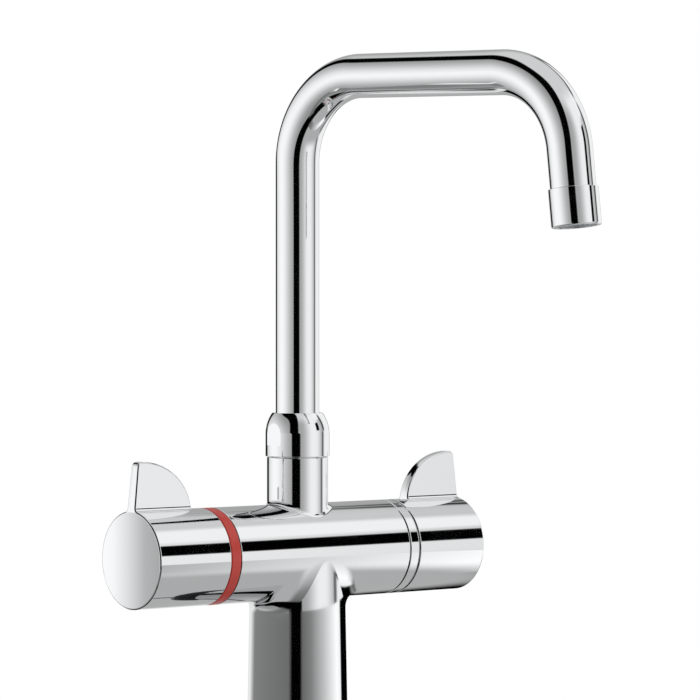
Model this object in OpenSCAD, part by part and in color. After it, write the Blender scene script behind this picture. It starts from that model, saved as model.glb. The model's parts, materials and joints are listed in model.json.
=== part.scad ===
// Thermostatic sink mixer with two lever handles on one horizontal body and a swivel tube spout.
// Z is up from the sink deck, the body lies along X, and the sink is towards -Y.

/* [Body] */
// Height of the body axis above the sink deck
axis_h = 84; // [76:1:110]
// Diameter of the body, of the handle rings and of both handles
body_d = 48.3; // [47:0.1:54]
// Distance from the spout axis to each end face of the body
body_half = 55.1; // [54:0.1:62]
// Diameter of the column at the height of the body axis
column_d = 47.6; // [44:0.1:47.8]
// Diameter of the column's foot on the deck
foot_d = 50.8; // [49:0.1:60]
// Chamfer round the foot
foot_chamfer = 0.6; // [0.2:0.1:1.5]
// Diameter of the neck under the spout nut
neck_d = 30.9; // [30:0.1:34]
// Height of the neck's shoulder above the body axis
neck_h = 48; // [44:0.5:58]
// Diameter of the threaded spigot that the spout nut screws on
neck_thread_d = 26.4; // [25.4:0.1:28]
// Length of the threaded spigot
neck_thread_l = 9; // [7:0.5:14]
// Length of each nose that carries a ring and guides a handle
nose_l = 13; // [9:0.5:15]
// Diameter of the water duct between the cartridge and the headwork
mixed_duct_d = 11; // [8:0.5:12]
// Diameter of the sloping duct from the headwork to the neck
spout_duct_d = 7; // [5:0.5:8]

/* [Spout] */
// Outer diameter of the spout tube
tube_d = 22; // [21:0.5:24]
// Wall of the spout tube
tube_wall = 1; // [0.8:0.1:1.5]
// Height of the spout's horizontal run above the body axis
spout_h = 238.6; // [180:1:320]
// Length of the straight run between the two bends
run_l = 91.1; // [50:1:180]
// Bend radius at the middle of the tube
bend_r = 42.5; // [35:0.5:60]
// Angle that the run falls towards the outlet
run_fall = 1.2; // [0:0.1:4]
// Angle that the outlet leg leans away from the riser
leg_lean = 6.5; // [0:0.5:15]
// Straight length of the outlet leg, down to the end of the tube
leg_l = 26; // [15:1:60]
// Amount that the tube's bends are fuller than its straight lengths, all round
bend_swell = 0.05; // [0.03:0.01:0.1]
// Swivel of the spout from straight ahead, towards the flow handle
swivel_rest = 8; // [-60:1:60]

/* [Spout nut] */
// Diameter of the spout nut
nut_d = 32.4; // [32:0.1:36]
// Diameter of the nut's mouth round the tube
nut_top_d = 25.6; // [25:0.1:28]
// Height of the nut
nut_h = 21.9; // [21:0.1:26]
// Height of the nut's cylindrical part
nut_wall_h = 11; // [8:0.1:12]
// Distance across the two milled flats
nut_flats = 30.6; // [30:0.1:31.5]
// Height of the flats' lower step above the nut's lower face
flat_step_h = 5.7; // [3:0.1:7]

/* [Spout bearing] */
// Height of the collar on the nipple, which the nut holds down
collar_h = 2.5; // [1.5:0.1:4]
// Thickness of the slip ring over the collar
slip_ring_t = 1.5; // [1:0.1:2.5]
// Length of the nipple below its collar
nipple_l = 24; // [20:0.5:26]
// Bore of the nipple
nipple_bore_d = 15; // [12:0.5:16]
// Length of the nipple's spigot inside the tube
nipple_spigot_l = 12; // [6:0.5:20]

/* [Aerator] */
// Diameter of the aerator housing
aerator_d = 24; // [23.6:0.1:27]
// Length of the aerator housing
aerator_l = 18.3; // [16:0.1:24]
// Depth to which the tube is screwed into the housing
aerator_thread_l = 7; // [5:0.5:8]
// Thickness of the aerator's seal
aerator_seal_t = 1.5; // [1:0.1:2.5]
// Diameter of one jet hole
jet_d = 1.5; // [1:0.1:1.8]
// Distance between neighbouring jet holes
jet_pitch = 2.6; // [2.3:0.1:4]

/* [Handles] */
// Length of each handle along the body
handle_l = 44; // [40:0.5:60]
// Wall of the handle's shell
handle_wall = 3; // [2.5:0.1:4]
// Thickness of the handle's end face
handle_end_t = 5; // [3:0.5:8]
// Chamfer on the handle's edges
handle_chamfer = 0.5; // [0.2:0.1:1]
// Gap between a handle and its ring
handle_gap = 0.25; // [0.15:0.05:0.6]
// Diameter of the hub that grips the spindle
hub_d = 16; // [14:0.5:20]
// Height of a lever's top above the body axis
fin_top = 48; // [40:0.5:60]
// Length of a lever along the handle
fin_l = 35; // [26:0.5:40]
// Thickness of a lever at its root
fin_root_t = 6.3; // [5:0.1:9]
// Thickness of a lever at its top
fin_tip_t = 5.6; // [3:0.1:6]
// Amount that a lever's outer edge leans in by its top
fin_lean = 2.6; // [0:0.1:6]
// Radius of the lever's upper outer corner
fin_corner_r = 2.6; // [1:0.1:6]
// Diameter of the grub screw under each handle
grub_d = 4; // [3:0.5:5]
// Length of the grub screw
grub_l = 5; // [4:0.5:6]

/* [Rings] */
// Width of the red ring beside the temperature handle
red_ring_w = 5.5; // [3:0.1:8]
// Width of the chromed ring beside the flow handle
chrome_ring_w = 6.3; // [3:0.1:8]
// Chamfer on the edges of the chromed ring
ring_chamfer = 0.4; // [0.2:0.05:1]

/* [Thermostatic cartridge] */
// Diameter of the cartridge
cartridge_d = 30; // [28:0.5:31]
// Distance from the spout axis to the cartridge's inner end
cartridge_in = 14; // [13:0.5:15]
// Distance from the spout axis to the shoulder that the cartridge's flange seats on
cartridge_seat = 48; // [46:0.5:50]
// Diameter of the cartridge's flange and of its retaining nut
cartridge_flange_d = 33; // [32.5:0.1:35]
// Thickness of the cartridge's flange
cartridge_flange_t = 3; // [2:0.1:4]
// Distance from the spout axis to the middle of the hot port
hot_port_x = 24.5; // [24:0.5:25]
// Distance from the spout axis to the middle of the cold port
cold_port_x = 39; // [38:0.5:39.5]
// Width of each port round the cartridge
port_w = 6; // [5:0.5:6.5]
// Diameter of the bore that the shuttle slides in
shuttle_bore_d = 23; // [21:0.5:24]
// Length of the shuttle
shuttle_l = 7; // [6:0.5:8]
// Diameter of the wax element's cup
wax_d = 10; // [8:0.5:11]
// Diameter of the regulating thread on the spindle
screw_d = 7; // [6:0.5:8]
// Diameter of the regulating nut
regulator_d = 14.4; // [14:0.1:16]

/* [Ceramic headwork] */
// Diameter of the headwork's bore in the body
headwork_bore_d = 24; // [23:0.5:26]
// Distance from the spout axis to the seat under the discs
headwork_seat = 24; // [22:0.5:25]
// Distance from the spout axis to the face under the headwork's hexagon
headwork_face = 52; // [51:0.5:53]
// Width across the flats of the hexagon
headwork_hex = 27; // [24:0.5:28]
// Thickness of the hexagon
headwork_hex_t = 5; // [4:0.5:6]
// Diameter of the ceramic discs
disc_d = 17.4; // [16:0.2:17.8]
// Thickness of each ceramic disc
disc_t = 3.5; // [3:0.1:4]

/* [Spindles] */
// Diameter of each spindle in its bearing
spindle_d = 9.9; // [9:0.1:11]
// Diameter of each spindle's splined end
spline_d = 8; // [7:0.1:8.5]
// Distance from the spout axis to the end of each spindle
spindle_end = 88; // [80:0.5:94]

/* [Inlets and check valves] */
// Distance from the middle of the column to each inlet
inlet_y = 9.5; // [9:0.1:11]
// Diameter of each inlet's threaded bore
inlet_d = 11.5; // [11.2:0.1:12.5]
// Length of each inlet's thread
inlet_thread_l = 12; // [9:0.5:16]
// Diameter of each check valve
valve_d = 11; // [10:0.1:11.1]
// Length of each check valve
valve_l = 16; // [14:0.5:20]
// Diameter of the check valve's seat
valve_seat_d = 6.4; // [5:0.1:7]
// Diameter of the ducts above the check valves
feed_d = 6; // [4:0.5:6.4]

/* [Deck fixing] */
// Distance between the two fixing studs
stud_pitch = 26; // [25:0.5:28]
// Diameter of each stud
stud_d = 6; // [5:0.5:8]
// Depth to which a stud is screwed into the body
stud_depth = 14; // [10:0.5:20]
// Length of each stud below the deck
stud_drop = 60; // [50:1:90]
// Thickness of the sink deck between the foot and the clamp
deck_t = 12; // [4:0.5:20]
// Diameter of the clamp plate
clamp_d = 56; // [52:0.5:64]
// Thickness of the clamp plate
clamp_t = 2.5; // [2:0.1:4]
// Thickness of the rubber between the deck and the clamp plate
clamp_rubber_t = 3; // [2:0.1:4]
// Width of the slot that lets the hoses through
clamp_slot = 17; // [15:0.5:18]
// Width across the flats of each stud nut
stud_nut_flats = 10; // [9:0.5:12]
// Height of each stud nut
stud_nut_h = 12; // [6:0.5:16]
// Middle diameter of the seal in the foot
base_seal_d = 43; // [40:0.5:44]
// Width of the seal in the foot
base_seal_w = 3.5; // [2:0.1:4]
// Depth of the seal in the foot
base_seal_t = 2; // [1.5:0.1:3]

/* [Seals and springs] */
// Cord diameter of the large o-rings
o_ring_t = 1.8; // [1.5:0.1:2]
// Cord diameter of the spindle o-rings
spindle_o_ring_t = 1.2; // [1:0.1:1.4]
// Wire diameter of the cartridge's return spring
return_wire_d = 1.3; // [1:0.1:1.5]
// Wire diameter of the overload spring
overload_wire_d = 0.8; // [0.6:0.1:0.9]
// Wire diameter of the check valve springs
valve_wire_d = 0.5; // [0.4:0.1:0.6]

/* [Clearances] */
// Radial clearance of pieces that turn or slide in one another
running_gap = 0.05; // [0.03:0.01:0.1]
// Radial clearance of pieces that are screwed or pressed together
seat_gap = 0.02; // [0.01:0.01:0.05]
// Radial clearance of bores that only let a piece pass
pass_gap = 0.3; // [0.2:0.05:0.5]

/* [Hidden] */
$fn = 96;
chrome = "#d6d8da";
brass = "#c8a452";
steel = "#a9adb1";
rubber = "#26272a";
red_plastic = "#b8342c";
white_plastic = "#e8e8e4";
grey_plastic = "#8d9298";
ceramic = "#f3f0ea";

body_r = body_d / 2;
nose_r = body_r - handle_wall - running_gap;
nose_end = body_half + nose_l;
neck_thread_top = neck_h + neck_thread_l;
tube_r = tube_d / 2;
tube_bore_r = tube_r - tube_wall;
nipple_r = tube_r;
neck_bore_r = nipple_r + running_gap;
collar_r = neck_thread_d / 2 - 0.4;
collar_z = neck_thread_top + 0.3;
tube_foot_z = collar_z + collar_h;
nut_z = neck_h + 0.25;
nut_shoulder_z = tube_foot_z + slip_ring_t + running_gap;
nipple_foot_z = collar_z - nipple_l;
mixing_floor_z = mixed_duct_d / 2 + 8;

left_handle_x = body_half + red_ring_w + handle_gap;
right_handle_x = body_half + chrome_ring_w + handle_gap;
hub_start = nose_end + 4;
grub_x = (hub_start + spindle_end) / 2;

ring_squeeze = 0.85;

cartridge_r = cartridge_d / 2;
cartridge_bore_r = cartridge_r + seat_gap;
flange_r = cartridge_flange_d / 2;
cartridge_step = 3;
cavity_start = cartridge_in + cartridge_step;
cavity_end = cartridge_seat + 1;
flange_end = cartridge_seat + cartridge_flange_t;
gland_l = 10;
gland_wall = 3.5;
gland_end = flange_end + gland_l;
gland_r = spindle_d / 2 + gland_wall;
spindle_bore_r = spindle_d / 2 + running_gap;
port_depth = 1.8;
port_waist_r = cartridge_r - port_depth;
port_window_w = 7;
shuttle_r = shuttle_bore_d / 2 - running_gap;
shuttle_wall = 1.3;
shuttle_x = (hot_port_x + cold_port_x - shuttle_l) / 2;
wax_web_x = shuttle_x + 1.2;
wax_guide_r = wax_d / 2 - 2;
spring_gap = 0.5;
plunger_t = 1.2;
plunger_x = shuttle_x + shuttle_l + 0.5;
plunger_travel = 3.4;
regulator_lip = 0.9;
regulator_wall = 1.4;
regulator_cup_r = regulator_d / 2 - regulator_wall;
regulator_x = plunger_x - regulator_lip;
regulator_web_x = plunger_x + plunger_t + plunger_travel;
key_l = 4;
key_w = 4;
key_height = 0.8;
key_travel = 3;
key_r = shuttle_bore_d / 2 + key_height;
regulator_end = regulator_web_x + key_l;

headwork_bore_r = headwork_bore_d / 2;
headwork_start = headwork_seat + 1;
disc_r = disc_d / 2;
disc_cavity_r = disc_r + 0.2;
headwork_wall_r = disc_cavity_r + 0.9;
fixed_disc_x = headwork_start + 2.5;
moving_disc_x = fixed_disc_x + disc_t;
driver_x = moving_disc_x + disc_t + 0.3;
driver_t = 3;
tang_w = 3.5;
tang_l = 2;
headwork_cavity_end = driver_x + driver_t + 0.3;
headwork_land_l = 9;
headwork_gland_l = 7;
headwork_land_x = headwork_face - headwork_land_l;
headwork_gland_end = headwork_face + headwork_hex_t + headwork_gland_l;

valve_z = inlet_thread_l + 1;
valve_seat_t = 3;
valve_cap_t = 2;
valve_stem_d = 2;
poppet_t = 2;
feed_r = feed_d / 2;
feed_radius = body_r - 1.9 - feed_r;
feed_z = -sqrt(feed_radius * feed_radius - inlet_y * inlet_y);

clamp_rubber_z = -deck_t - clamp_rubber_t;
clamp_z = clamp_rubber_z - clamp_t;
stud_nut_z = clamp_z - stud_nut_h;

// Frames: the left and right halves of the body's axis, and the plane of the spout

module right_side() {
    translate([0, 0, axis_h]) children();
}

module left_side() {
    translate([0, 0, axis_h]) mirror([1, 0, 0]) children();
}

module spout_plane() {
    translate([0, 0, axis_h]) rotate([0, 0, swivel_rest - 90]) children();
}

// A solid turned round the X axis from points of [radius, distance]
module turned_x(points) {
    rotate([0, 90, 0]) rotate_extrude() polygon(points);
}

// A solid turned round the Z axis from points of [radius, height]
module turned_z(points) {
    rotate_extrude() polygon(points);
}

module rod_x(r, from, to) {
    translate([from, 0, 0]) rotate([0, 90, 0]) cylinder(r = r, h = to - from);
}

module ring_x(outer_r, inner_r, from, to) {
    turned_x([[inner_r, from], [outer_r, from], [outer_r, to], [inner_r, to]]);
}

// An o-ring squeezed between a groove and a bore, round the X axis
module o_ring_x(groove_r, bore_r, at) {
    cord_r = (bore_r - groove_r) / 2 - seat_gap;
    translate([at, 0, 0]) rotate([0, 90, 0])
        rotate_extrude() translate([(bore_r + groove_r) / 2, 0]) circle(r = cord_r, $fn = 32);
}

// A coil spring round the Z axis, as one tube of six sides
module coil(mean_r, wire_d, length, turns) {
    steps = turns * 8;
    sides = 6;
    rise = length - wire_d;
    points = [for (i = [0:steps]) for (j = [0:sides - 1])
        let (a = 360 * i / 8, b = 360 * j / sides, r = mean_r + wire_d / 2 * cos(b))
        [r * cos(a), r * sin(a), wire_d / 2 + rise * i / steps + wire_d / 2 * sin(b)]];
    walls = [for (i = [0:steps - 1]) for (j = [0:sides - 1])
        let (k = (j + 1) % sides, p = i * sides, q = p + sides)
        each [[p + j, q + j, q + k], [p + j, q + k, p + k]]];
    start = [for (j = [1:sides - 2]) [0, j, j + 1]];
    last = steps * sides;
    end = [for (j = [1:sides - 2]) [last, last + j + 1, last + j]];
    polyhedron(points, concat(walls, start, end));
}

// Body, column and neck

module duct_between(a, b, r) {
    v = b - a;
    length = norm(v);
    translate(a) rotate([0, acos(v.z / length), atan2(v.y, v.x)]) cylinder(r = r, h = length);
}

module body_outside() {
    rod_x(body_r, -body_half, body_half);
    rod_x(nose_r, -nose_end, nose_end);
    translate([0, 0, -axis_h]) turned_z([[0, 0], [foot_d / 2 - foot_chamfer, 0],
        [foot_d / 2, foot_chamfer], [column_d / 2, axis_h], [0, axis_h]]);
    cylinder(r = neck_d / 2, h = neck_h);
    cylinder(r = neck_thread_d / 2, h = neck_thread_top);
}

module cartridge_bore() {
    rod_x(cartridge_bore_r, cartridge_in, nose_end + 1);
    rod_x(flange_r + seat_gap, cartridge_seat, nose_end + 1);
}

module headwork_bore() {
    rod_x(headwork_bore_r + seat_gap, headwork_seat, nose_end + 1);
    rod_x(flange_r + seat_gap, headwork_face, nose_end + 1);
}

module neck_bore() {
    translate([0, 0, nipple_foot_z - 1]) cylinder(r = neck_bore_r, h = neck_thread_top);
    translate([0, 0, mixing_floor_z]) cylinder(d = nipple_bore_d, h = neck_thread_top);
    duct_between([headwork_seat + 4, 0, mixed_duct_d / 2 + 1],
                 [nipple_bore_d / 4, 0, mixing_floor_z + 7], spout_duct_d / 2);
}

// One inlet: threaded mouth, check valve bore, riser, and the feed duct to its port
module inlet_bore(y, port_x) {
    translate([0, y, -axis_h - 1]) cylinder(d = inlet_d, h = inlet_thread_l + 1);
    translate([0, y, -axis_h]) cylinder(r = valve_d / 2 + seat_gap, h = valve_z + valve_l);
    translate([0, y, -axis_h]) cylinder(r = feed_r, h = axis_h + feed_z);
    translate([0, y, feed_z]) rod_x(feed_r, -port_x, 1);
    reach = (cartridge_r - 1) / feed_radius;
    duct_between([-port_x, y, feed_z], [-port_x, y * reach, feed_z * reach], feed_r * 0.85);
}

module base_seal_groove(gap) {
    inner_r = base_seal_d / 2 - base_seal_w / 2 - gap;
    outer_r = base_seal_d / 2 + base_seal_w / 2 + gap;
    turned_z([[inner_r, 0], [outer_r, 0], [outer_r, base_seal_t + gap], [inner_r, base_seal_t + gap]]);
}

module at_studs() {
    for (side = [-1, 1]) translate([side * stud_pitch / 2, 0, 0]) children();
}

module body() {
    color(chrome) difference() {
        translate([0, 0, axis_h]) difference() {
            body_outside();
            mirror([1, 0, 0]) cartridge_bore();
            headwork_bore();
            rod_x(mixed_duct_d / 2, -cartridge_in - 1, headwork_seat + 1);
            neck_bore();
            inlet_bore(inlet_y, hot_port_x);
            inlet_bore(-inlet_y, cold_port_x);
        }
        translate([0, 0, -0.01]) base_seal_groove(seat_gap);
        at_studs() translate([0, 0, -1]) cylinder(r = stud_d / 2 + seat_gap, h = stud_depth + 1);
    }
}

// Fixing under the deck

module base_seal() {
    color(rubber) base_seal_groove(0);
}

module fixing_studs() {
    color(steel) at_studs() translate([0, 0, -stud_drop])
        cylinder(d = stud_d, h = stud_drop + stud_depth - 0.5);
}

// A round plate, open at the back for the hoses
module clamp_shape(t) {
    bridge_w = 8;
    difference() {
        cylinder(d = clamp_d, h = t);
        translate([-clamp_slot / 2, -clamp_d / 2 + bridge_w, -1]) cube([clamp_slot, clamp_d, t + 2]);
        at_studs() translate([0, 0, -1]) cylinder(d = stud_d + 2 * pass_gap, h = t + 2);
    }
}

module clamp_rubber() {
    color(rubber) translate([0, 0, clamp_rubber_z]) clamp_shape(clamp_rubber_t);
}

module clamp_plate() {
    color(steel) translate([0, 0, clamp_z]) clamp_shape(clamp_t);
}

module stud_nuts() {
    color(brass) at_studs() translate([0, 0, stud_nut_z]) difference() {
        cylinder(r = stud_nut_flats / sqrt(3), h = stud_nut_h, $fn = 6);
        translate([0, 0, -1]) cylinder(r = stud_d / 2 + seat_gap, h = stud_nut_h + 2);
    }
}

// Spout: riser, bend, falling run, bend and leaning outlet leg

bend_z = spout_h - bend_r;
bend_lap = 10 * bend_swell;
run_start = [bend_r + bend_r * sin(run_fall), bend_z + bend_r * cos(run_fall)];
run_end = run_start + run_l * [cos(run_fall), -sin(run_fall)];
second_bend = run_end - bend_r * [sin(run_fall), cos(run_fall)];
leg_start = second_bend + bend_r * [cos(leg_lean), sin(leg_lean)];

module tube_bend(centre, from, sweep, r) {
    translate([centre.x, 0, centre.y]) rotate([90, 0, 0]) rotate([0, 0, from])
        rotate_extrude(angle = sweep) translate([bend_r, 0]) circle(r = r);
}

// The tube's path filled to one radius: straight lengths that run a little way into fuller bends
module tube_core(r, past) {
    translate([0, 0, tube_foot_z - past]) cylinder(r = r, h = bend_z - tube_foot_z + past + bend_lap);
    tube_bend([bend_r, bend_z], 90 - run_fall, 90 + run_fall, r + bend_swell);
    translate([run_start.x, 0, run_start.y]) rotate([0, 90 + run_fall, 0])
        translate([0, 0, -bend_lap]) cylinder(r = r, h = run_l + 2 * bend_lap);
    tube_bend(second_bend, leg_lean, 90 - run_fall - leg_lean, r + bend_swell);
    outlet_leg() translate([0, 0, -bend_lap]) cylinder(r = r, h = leg_l + past + bend_lap);
}

module spout_tube() {
    color(chrome) spout_plane() difference() {
        tube_core(tube_r, 0);
        tube_core(tube_bore_r, 1);
    }
}

// Moves its children to the top of the outlet leg, with Z down the leg
module outlet_leg() {
    translate([leg_start.x, 0, leg_start.y]) rotate([0, 180 - leg_lean, 0]) children();
}

groove_r = nipple_r - o_ring_t * ring_squeeze;
groove_w = o_ring_t + 0.4;
spout_groove_zs = [nipple_foot_z + 5, nipple_foot_z + 12];

module spout_nipple() {
    color(brass) translate([0, 0, axis_h]) difference() {
        union() {
            translate([0, 0, nipple_foot_z]) cylinder(r = nipple_r, h = nipple_l);
            translate([0, 0, collar_z]) cylinder(r = collar_r, h = collar_h);
            translate([0, 0, collar_z])
                cylinder(r = tube_bore_r - seat_gap, h = collar_h + nipple_spigot_l);
        }
        translate([0, 0, nipple_foot_z - 1]) cylinder(d = nipple_bore_d, h = nipple_l * 3);
        for (z = spout_groove_zs) turned_z([[groove_r, z], [nipple_r + 1, z],
            [nipple_r + 1, z + groove_w], [groove_r, z + groove_w]]);
    }
}

module spout_o_rings() {
    mid_r = (groove_r + nipple_r) / 2;
    cord_r = (nipple_r - groove_r) / 2 - seat_gap;
    color(rubber) for (z = spout_groove_zs)
        translate([0, 0, axis_h + z + groove_w / 2])
            rotate_extrude() translate([mid_r, 0]) circle(r = cord_r, $fn = 32);
}

module slip_ring() {
    inner_r = tube_r + running_gap;
    color(white_plastic) translate([0, 0, axis_h + tube_foot_z]) difference() {
        cylinder(r = collar_r, h = slip_ring_t);
        translate([0, 0, -1]) cylinder(r = inner_r, h = slip_ring_t + 2);
    }
}

// The nut's outline closes in on the tube along one arc
module spout_nut() {
    top = nut_h;
    inset = (nut_d - nut_top_d) / 2;
    rise = nut_h - nut_wall_h;
    arc_r = (inset * inset + rise * rise) / (2 * inset);
    arc_a = asin(rise / arc_r);
    outline = [for (i = [0:12]) let (a = arc_a * i / 12)
        [nut_d / 2 - arc_r * (1 - cos(a)), nut_wall_h + arc_r * sin(a)]];
    thread_r = neck_thread_d / 2 + running_gap;
    shoulder = nut_shoulder_z - nut_z;
    mouth_r = tube_r + 2 * running_gap;
    color(chrome) translate([0, 0, axis_h + nut_z]) difference() {
        turned_z(concat([[thread_r, 0], [nut_d / 2, 0]], outline,
            [[mouth_r, top], [mouth_r, shoulder], [thread_r, shoulder]]));
        for (side = [0, 1]) mirror([side, 0, 0])
            translate([nut_flats / 2, -nut_d / 2, flat_step_h]) cube([nut_d, nut_d, nut_h]);
    }
}

// Aerator on the outlet leg

aerator_z = leg_l - aerator_thread_l;
aerator_bore_r = tube_r + seat_gap;
aerator_lip_t = 1;
aerator_lip_r = aerator_bore_r - 1.4;
insert_z = aerator_thread_l + aerator_seal_t;
insert_l = aerator_l - insert_z - aerator_lip_t;
insert_r = tube_r - 0.5;
insert_wall = 1.2;

module at_aerator() {
    spout_plane() outlet_leg() translate([0, 0, aerator_z]) children();
}

module aerator_housing() {
    edge = aerator_l - 2.5;
    color(chrome) at_aerator() turned_z([[aerator_bore_r, 0], [aerator_d / 2 - 0.2, 0],
        [aerator_d / 2, 0.2], [aerator_d / 2, edge], [aerator_d / 2 - 0.6, aerator_l],
        [aerator_lip_r, aerator_l], [aerator_lip_r, aerator_l - aerator_lip_t],
        [aerator_bore_r, aerator_l - aerator_lip_t]]);
}

module aerator_seal() {
    color(rubber) at_aerator() translate([0, 0, aerator_thread_l]) difference() {
        cylinder(r = tube_r - seat_gap, h = aerator_seal_t);
        translate([0, 0, -1]) cylinder(r = tube_bore_r - 1.5, h = aerator_seal_t + 2);
    }
}

// Jet plate: holes on a triangular grid inside a plastic cup
module aerator_insert() {
    rows = floor((insert_r - 2) / jet_pitch);
    plate_t = 2;
    color(grey_plastic) at_aerator() translate([0, 0, insert_z]) difference() {
        cylinder(r = insert_r, h = insert_l);
        translate([0, 0, -1]) cylinder(r = insert_r - insert_wall, h = insert_l - plate_t + 1);
        for (i = [-rows:rows]) for (j = [-rows:rows])
            let (x = jet_pitch * (i + j / 2), y = jet_pitch * j * sqrt(3) / 2)
            if (norm([x, y]) < insert_r - insert_wall - jet_d / 2)
                translate([x, y, 0]) cylinder(d = jet_d, h = insert_l + 1, $fn = 24);
    }
}

module aerator_screen() {
    screen_r = insert_r - insert_wall - seat_gap;
    color(steel) at_aerator() translate([0, 0, insert_z]) difference() {
        cylinder(r = screen_r, h = 0.8);
        for (a = [0:60:300]) rotate([0, 0, a]) translate([screen_r / 2, 0, -1])
            cylinder(r = screen_r / 5, h = 3, $fn = 24);
        translate([0, 0, -1]) cylinder(r = screen_r / 5, h = 3, $fn = 24);
    }
}

// Handles with their levers, written for the right side and starting at x = 0

fin_base_z = body_r - 2.2;

// Outline of a lever: leaning outer edge, rounded corner, then a quarter ellipse to its root
module fin_outline() {
    corner = [fin_lean + fin_corner_r - 0.2, fin_top - fin_corner_r];
    ellipse_e = corner.x;
    round_corner = [for (a = [175:-17:90]) corner + fin_corner_r * [cos(a), sin(a)]];
    sweep = [for (a = [86:-4:0])
        [ellipse_e + (fin_l - ellipse_e) * cos(a), fin_base_z + (fin_top - fin_base_z) * sin(a)]];
    polygon(concat([[0, 0], [0, body_r]], round_corner, sweep, [[fin_l, 0]]));
}

module fin() {
    wedge = [[-fin_root_t / 2, 0], [-fin_root_t / 2, body_r], [-fin_tip_t / 2, fin_top + 0.1],
             [fin_tip_t / 2, fin_top + 0.1], [fin_root_t / 2, body_r], [fin_root_t / 2, 0]];
    intersection() {
        translate([handle_l, 0, 0]) rotate([90, 0, 0]) mirror([1, 0, 0])
            linear_extrude(fin_root_t + 1, center = true) fin_outline();
        rotate([90, 0, 90]) linear_extrude(handle_l + 1) polygon(wedge);
    }
}

module handle(start) {
    bore_end = spindle_end - start + 1;
    cavity_r = body_r - handle_wall;
    translate([start, 0, 0]) difference() {
        union() {
            turned_x([[0, 0], [body_r - handle_chamfer, 0], [body_r, handle_chamfer],
                [body_r, handle_l - handle_chamfer], [body_r - handle_chamfer, handle_l], [0, handle_l]]);
            fin();
        }
        ring_x(cavity_r, hub_d / 2, -1, handle_l - handle_end_t);
        rod_x(cavity_r - 0.5, -1, hub_start - start);
        rod_x(spline_d / 2 + seat_gap, -1, bore_end);
        translate([grub_x - start, 0, -body_r - 1]) cylinder(r = grub_d / 2 + seat_gap, h = body_r + 1);
    }
}

module grub_screw() {
    translate([grub_x, 0, -spline_d / 2 - grub_l - seat_gap]) difference() {
        cylinder(d = grub_d, h = grub_l);
        translate([0, 0, -0.5]) cylinder(d = grub_d / 2, h = 2.5, $fn = 6);
    }
}

module temperature_handle() {
    color(chrome) left_side() handle(left_handle_x);
}

module flow_handle() {
    color(chrome) right_side() handle(right_handle_x);
}

module temperature_grub_screw() {
    color(steel) left_side() grub_screw();
}

module flow_grub_screw() {
    color(steel) right_side() grub_screw();
}

// Rings between the body and the handles

red_ring_chamfer = 0.1;

module edged_ring(width, chamfer) {
    turned_x([[nose_r + seat_gap, body_half], [body_r - chamfer, body_half],
        [body_r, body_half + chamfer], [body_r, body_half + width - chamfer],
        [body_r - chamfer, body_half + width], [nose_r + seat_gap, body_half + width]]);
}

module temperature_ring() {
    color(red_plastic) left_side() edged_ring(red_ring_w, red_ring_chamfer);
}

module flow_ring() {
    color(chrome) right_side() edged_ring(chrome_ring_w, ring_chamfer);
}

// Thermostatic cartridge, from the mixed water outlet to the gland

cartridge_groove_r = cartridge_r - o_ring_t * ring_squeeze;
cartridge_groove_xs = [cartridge_in + 2, (hot_port_x + cold_port_x) / 2 - groove_w / 2,
                       cold_port_x + port_w / 2 + 1.5];
spindle_groove_r = spindle_d / 2 - spindle_o_ring_t * ring_squeeze;
spindle_groove_w = spindle_o_ring_t + 0.3;
spindle_groove_x = flange_end + 3;

module annular_groove(bottom_r, top_r, from, width) {
    ring_x(top_r, bottom_r, from, from + width);
}

module port_windows(x) {
    for (a = [0:90:270]) rotate([a, 0, 0])
        translate([x - port_w / 2 + 0.5, -port_window_w / 2, shuttle_bore_d / 2 - 3])
            cube([port_w - 1, port_window_w, 8]);
}

module cartridge_housing() {
    color(brass) left_side() difference() {
        union() {
            rod_x(cartridge_r, cartridge_in, flange_end);
            rod_x(flange_r, cartridge_seat, flange_end);
            rod_x(gland_r, cartridge_seat, gland_end);
        }
        rod_x(shuttle_bore_d / 2 - cartridge_step, cartridge_in - 1, cavity_end);
        rod_x(shuttle_bore_d / 2, cavity_start, cavity_end);
        rod_x(spindle_bore_r, cartridge_in, gland_end + 1);
        rotate([45, 0, 0])
            translate([regulator_web_x - key_travel, -key_w / 2 - running_gap, -key_r - running_gap])
            cube([key_l + 2 * key_travel, key_w + 2 * running_gap, 2 * (key_r + running_gap)]);
        for (x = cartridge_groove_xs) annular_groove(cartridge_groove_r, cartridge_r + 1, x, groove_w);
        for (x = [hot_port_x, cold_port_x]) {
            annular_groove(port_waist_r, cartridge_r + 1, x - port_w / 2, port_w);
            port_windows(x);
        }
    }
}

module cartridge_nut() {
    nut_l = 7;
    color(brass) left_side() translate([flange_end, 0, 0]) difference() {
        rod_x(flange_r, 0, nut_l);
        rod_x(gland_r + pass_gap, -1, nut_l + 1);
        for (a = [0:60:300]) rotate([a, 0, 0])
            translate([nut_l - 2.5, -1.5, gland_r + 1.5]) cube([4, 3, flange_r]);
    }
}

module cartridge_o_rings() {
    color(rubber) left_side() for (x = cartridge_groove_xs)
        o_ring_x(cartridge_groove_r, cartridge_bore_r, x + groove_w / 2);
}

// A fine strainer round each port, drawn as a sleeve with rows of slots
module port_strainers() {
    inner_r = port_waist_r + 0.3;
    outer_r = port_waist_r + 1.1;
    color(steel) left_side() for (x = [hot_port_x, cold_port_x]) difference() {
        ring_x(outer_r, inner_r, x - port_w / 2 + 0.1, x + port_w / 2 - 0.1);
        for (a = [0:20:340]) rotate([a, 0, 0])
            translate([x - port_w / 2 + 1, -0.9, inner_r - 1]) cube([port_w - 2, 1.8, 4]);
    }
}

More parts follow.
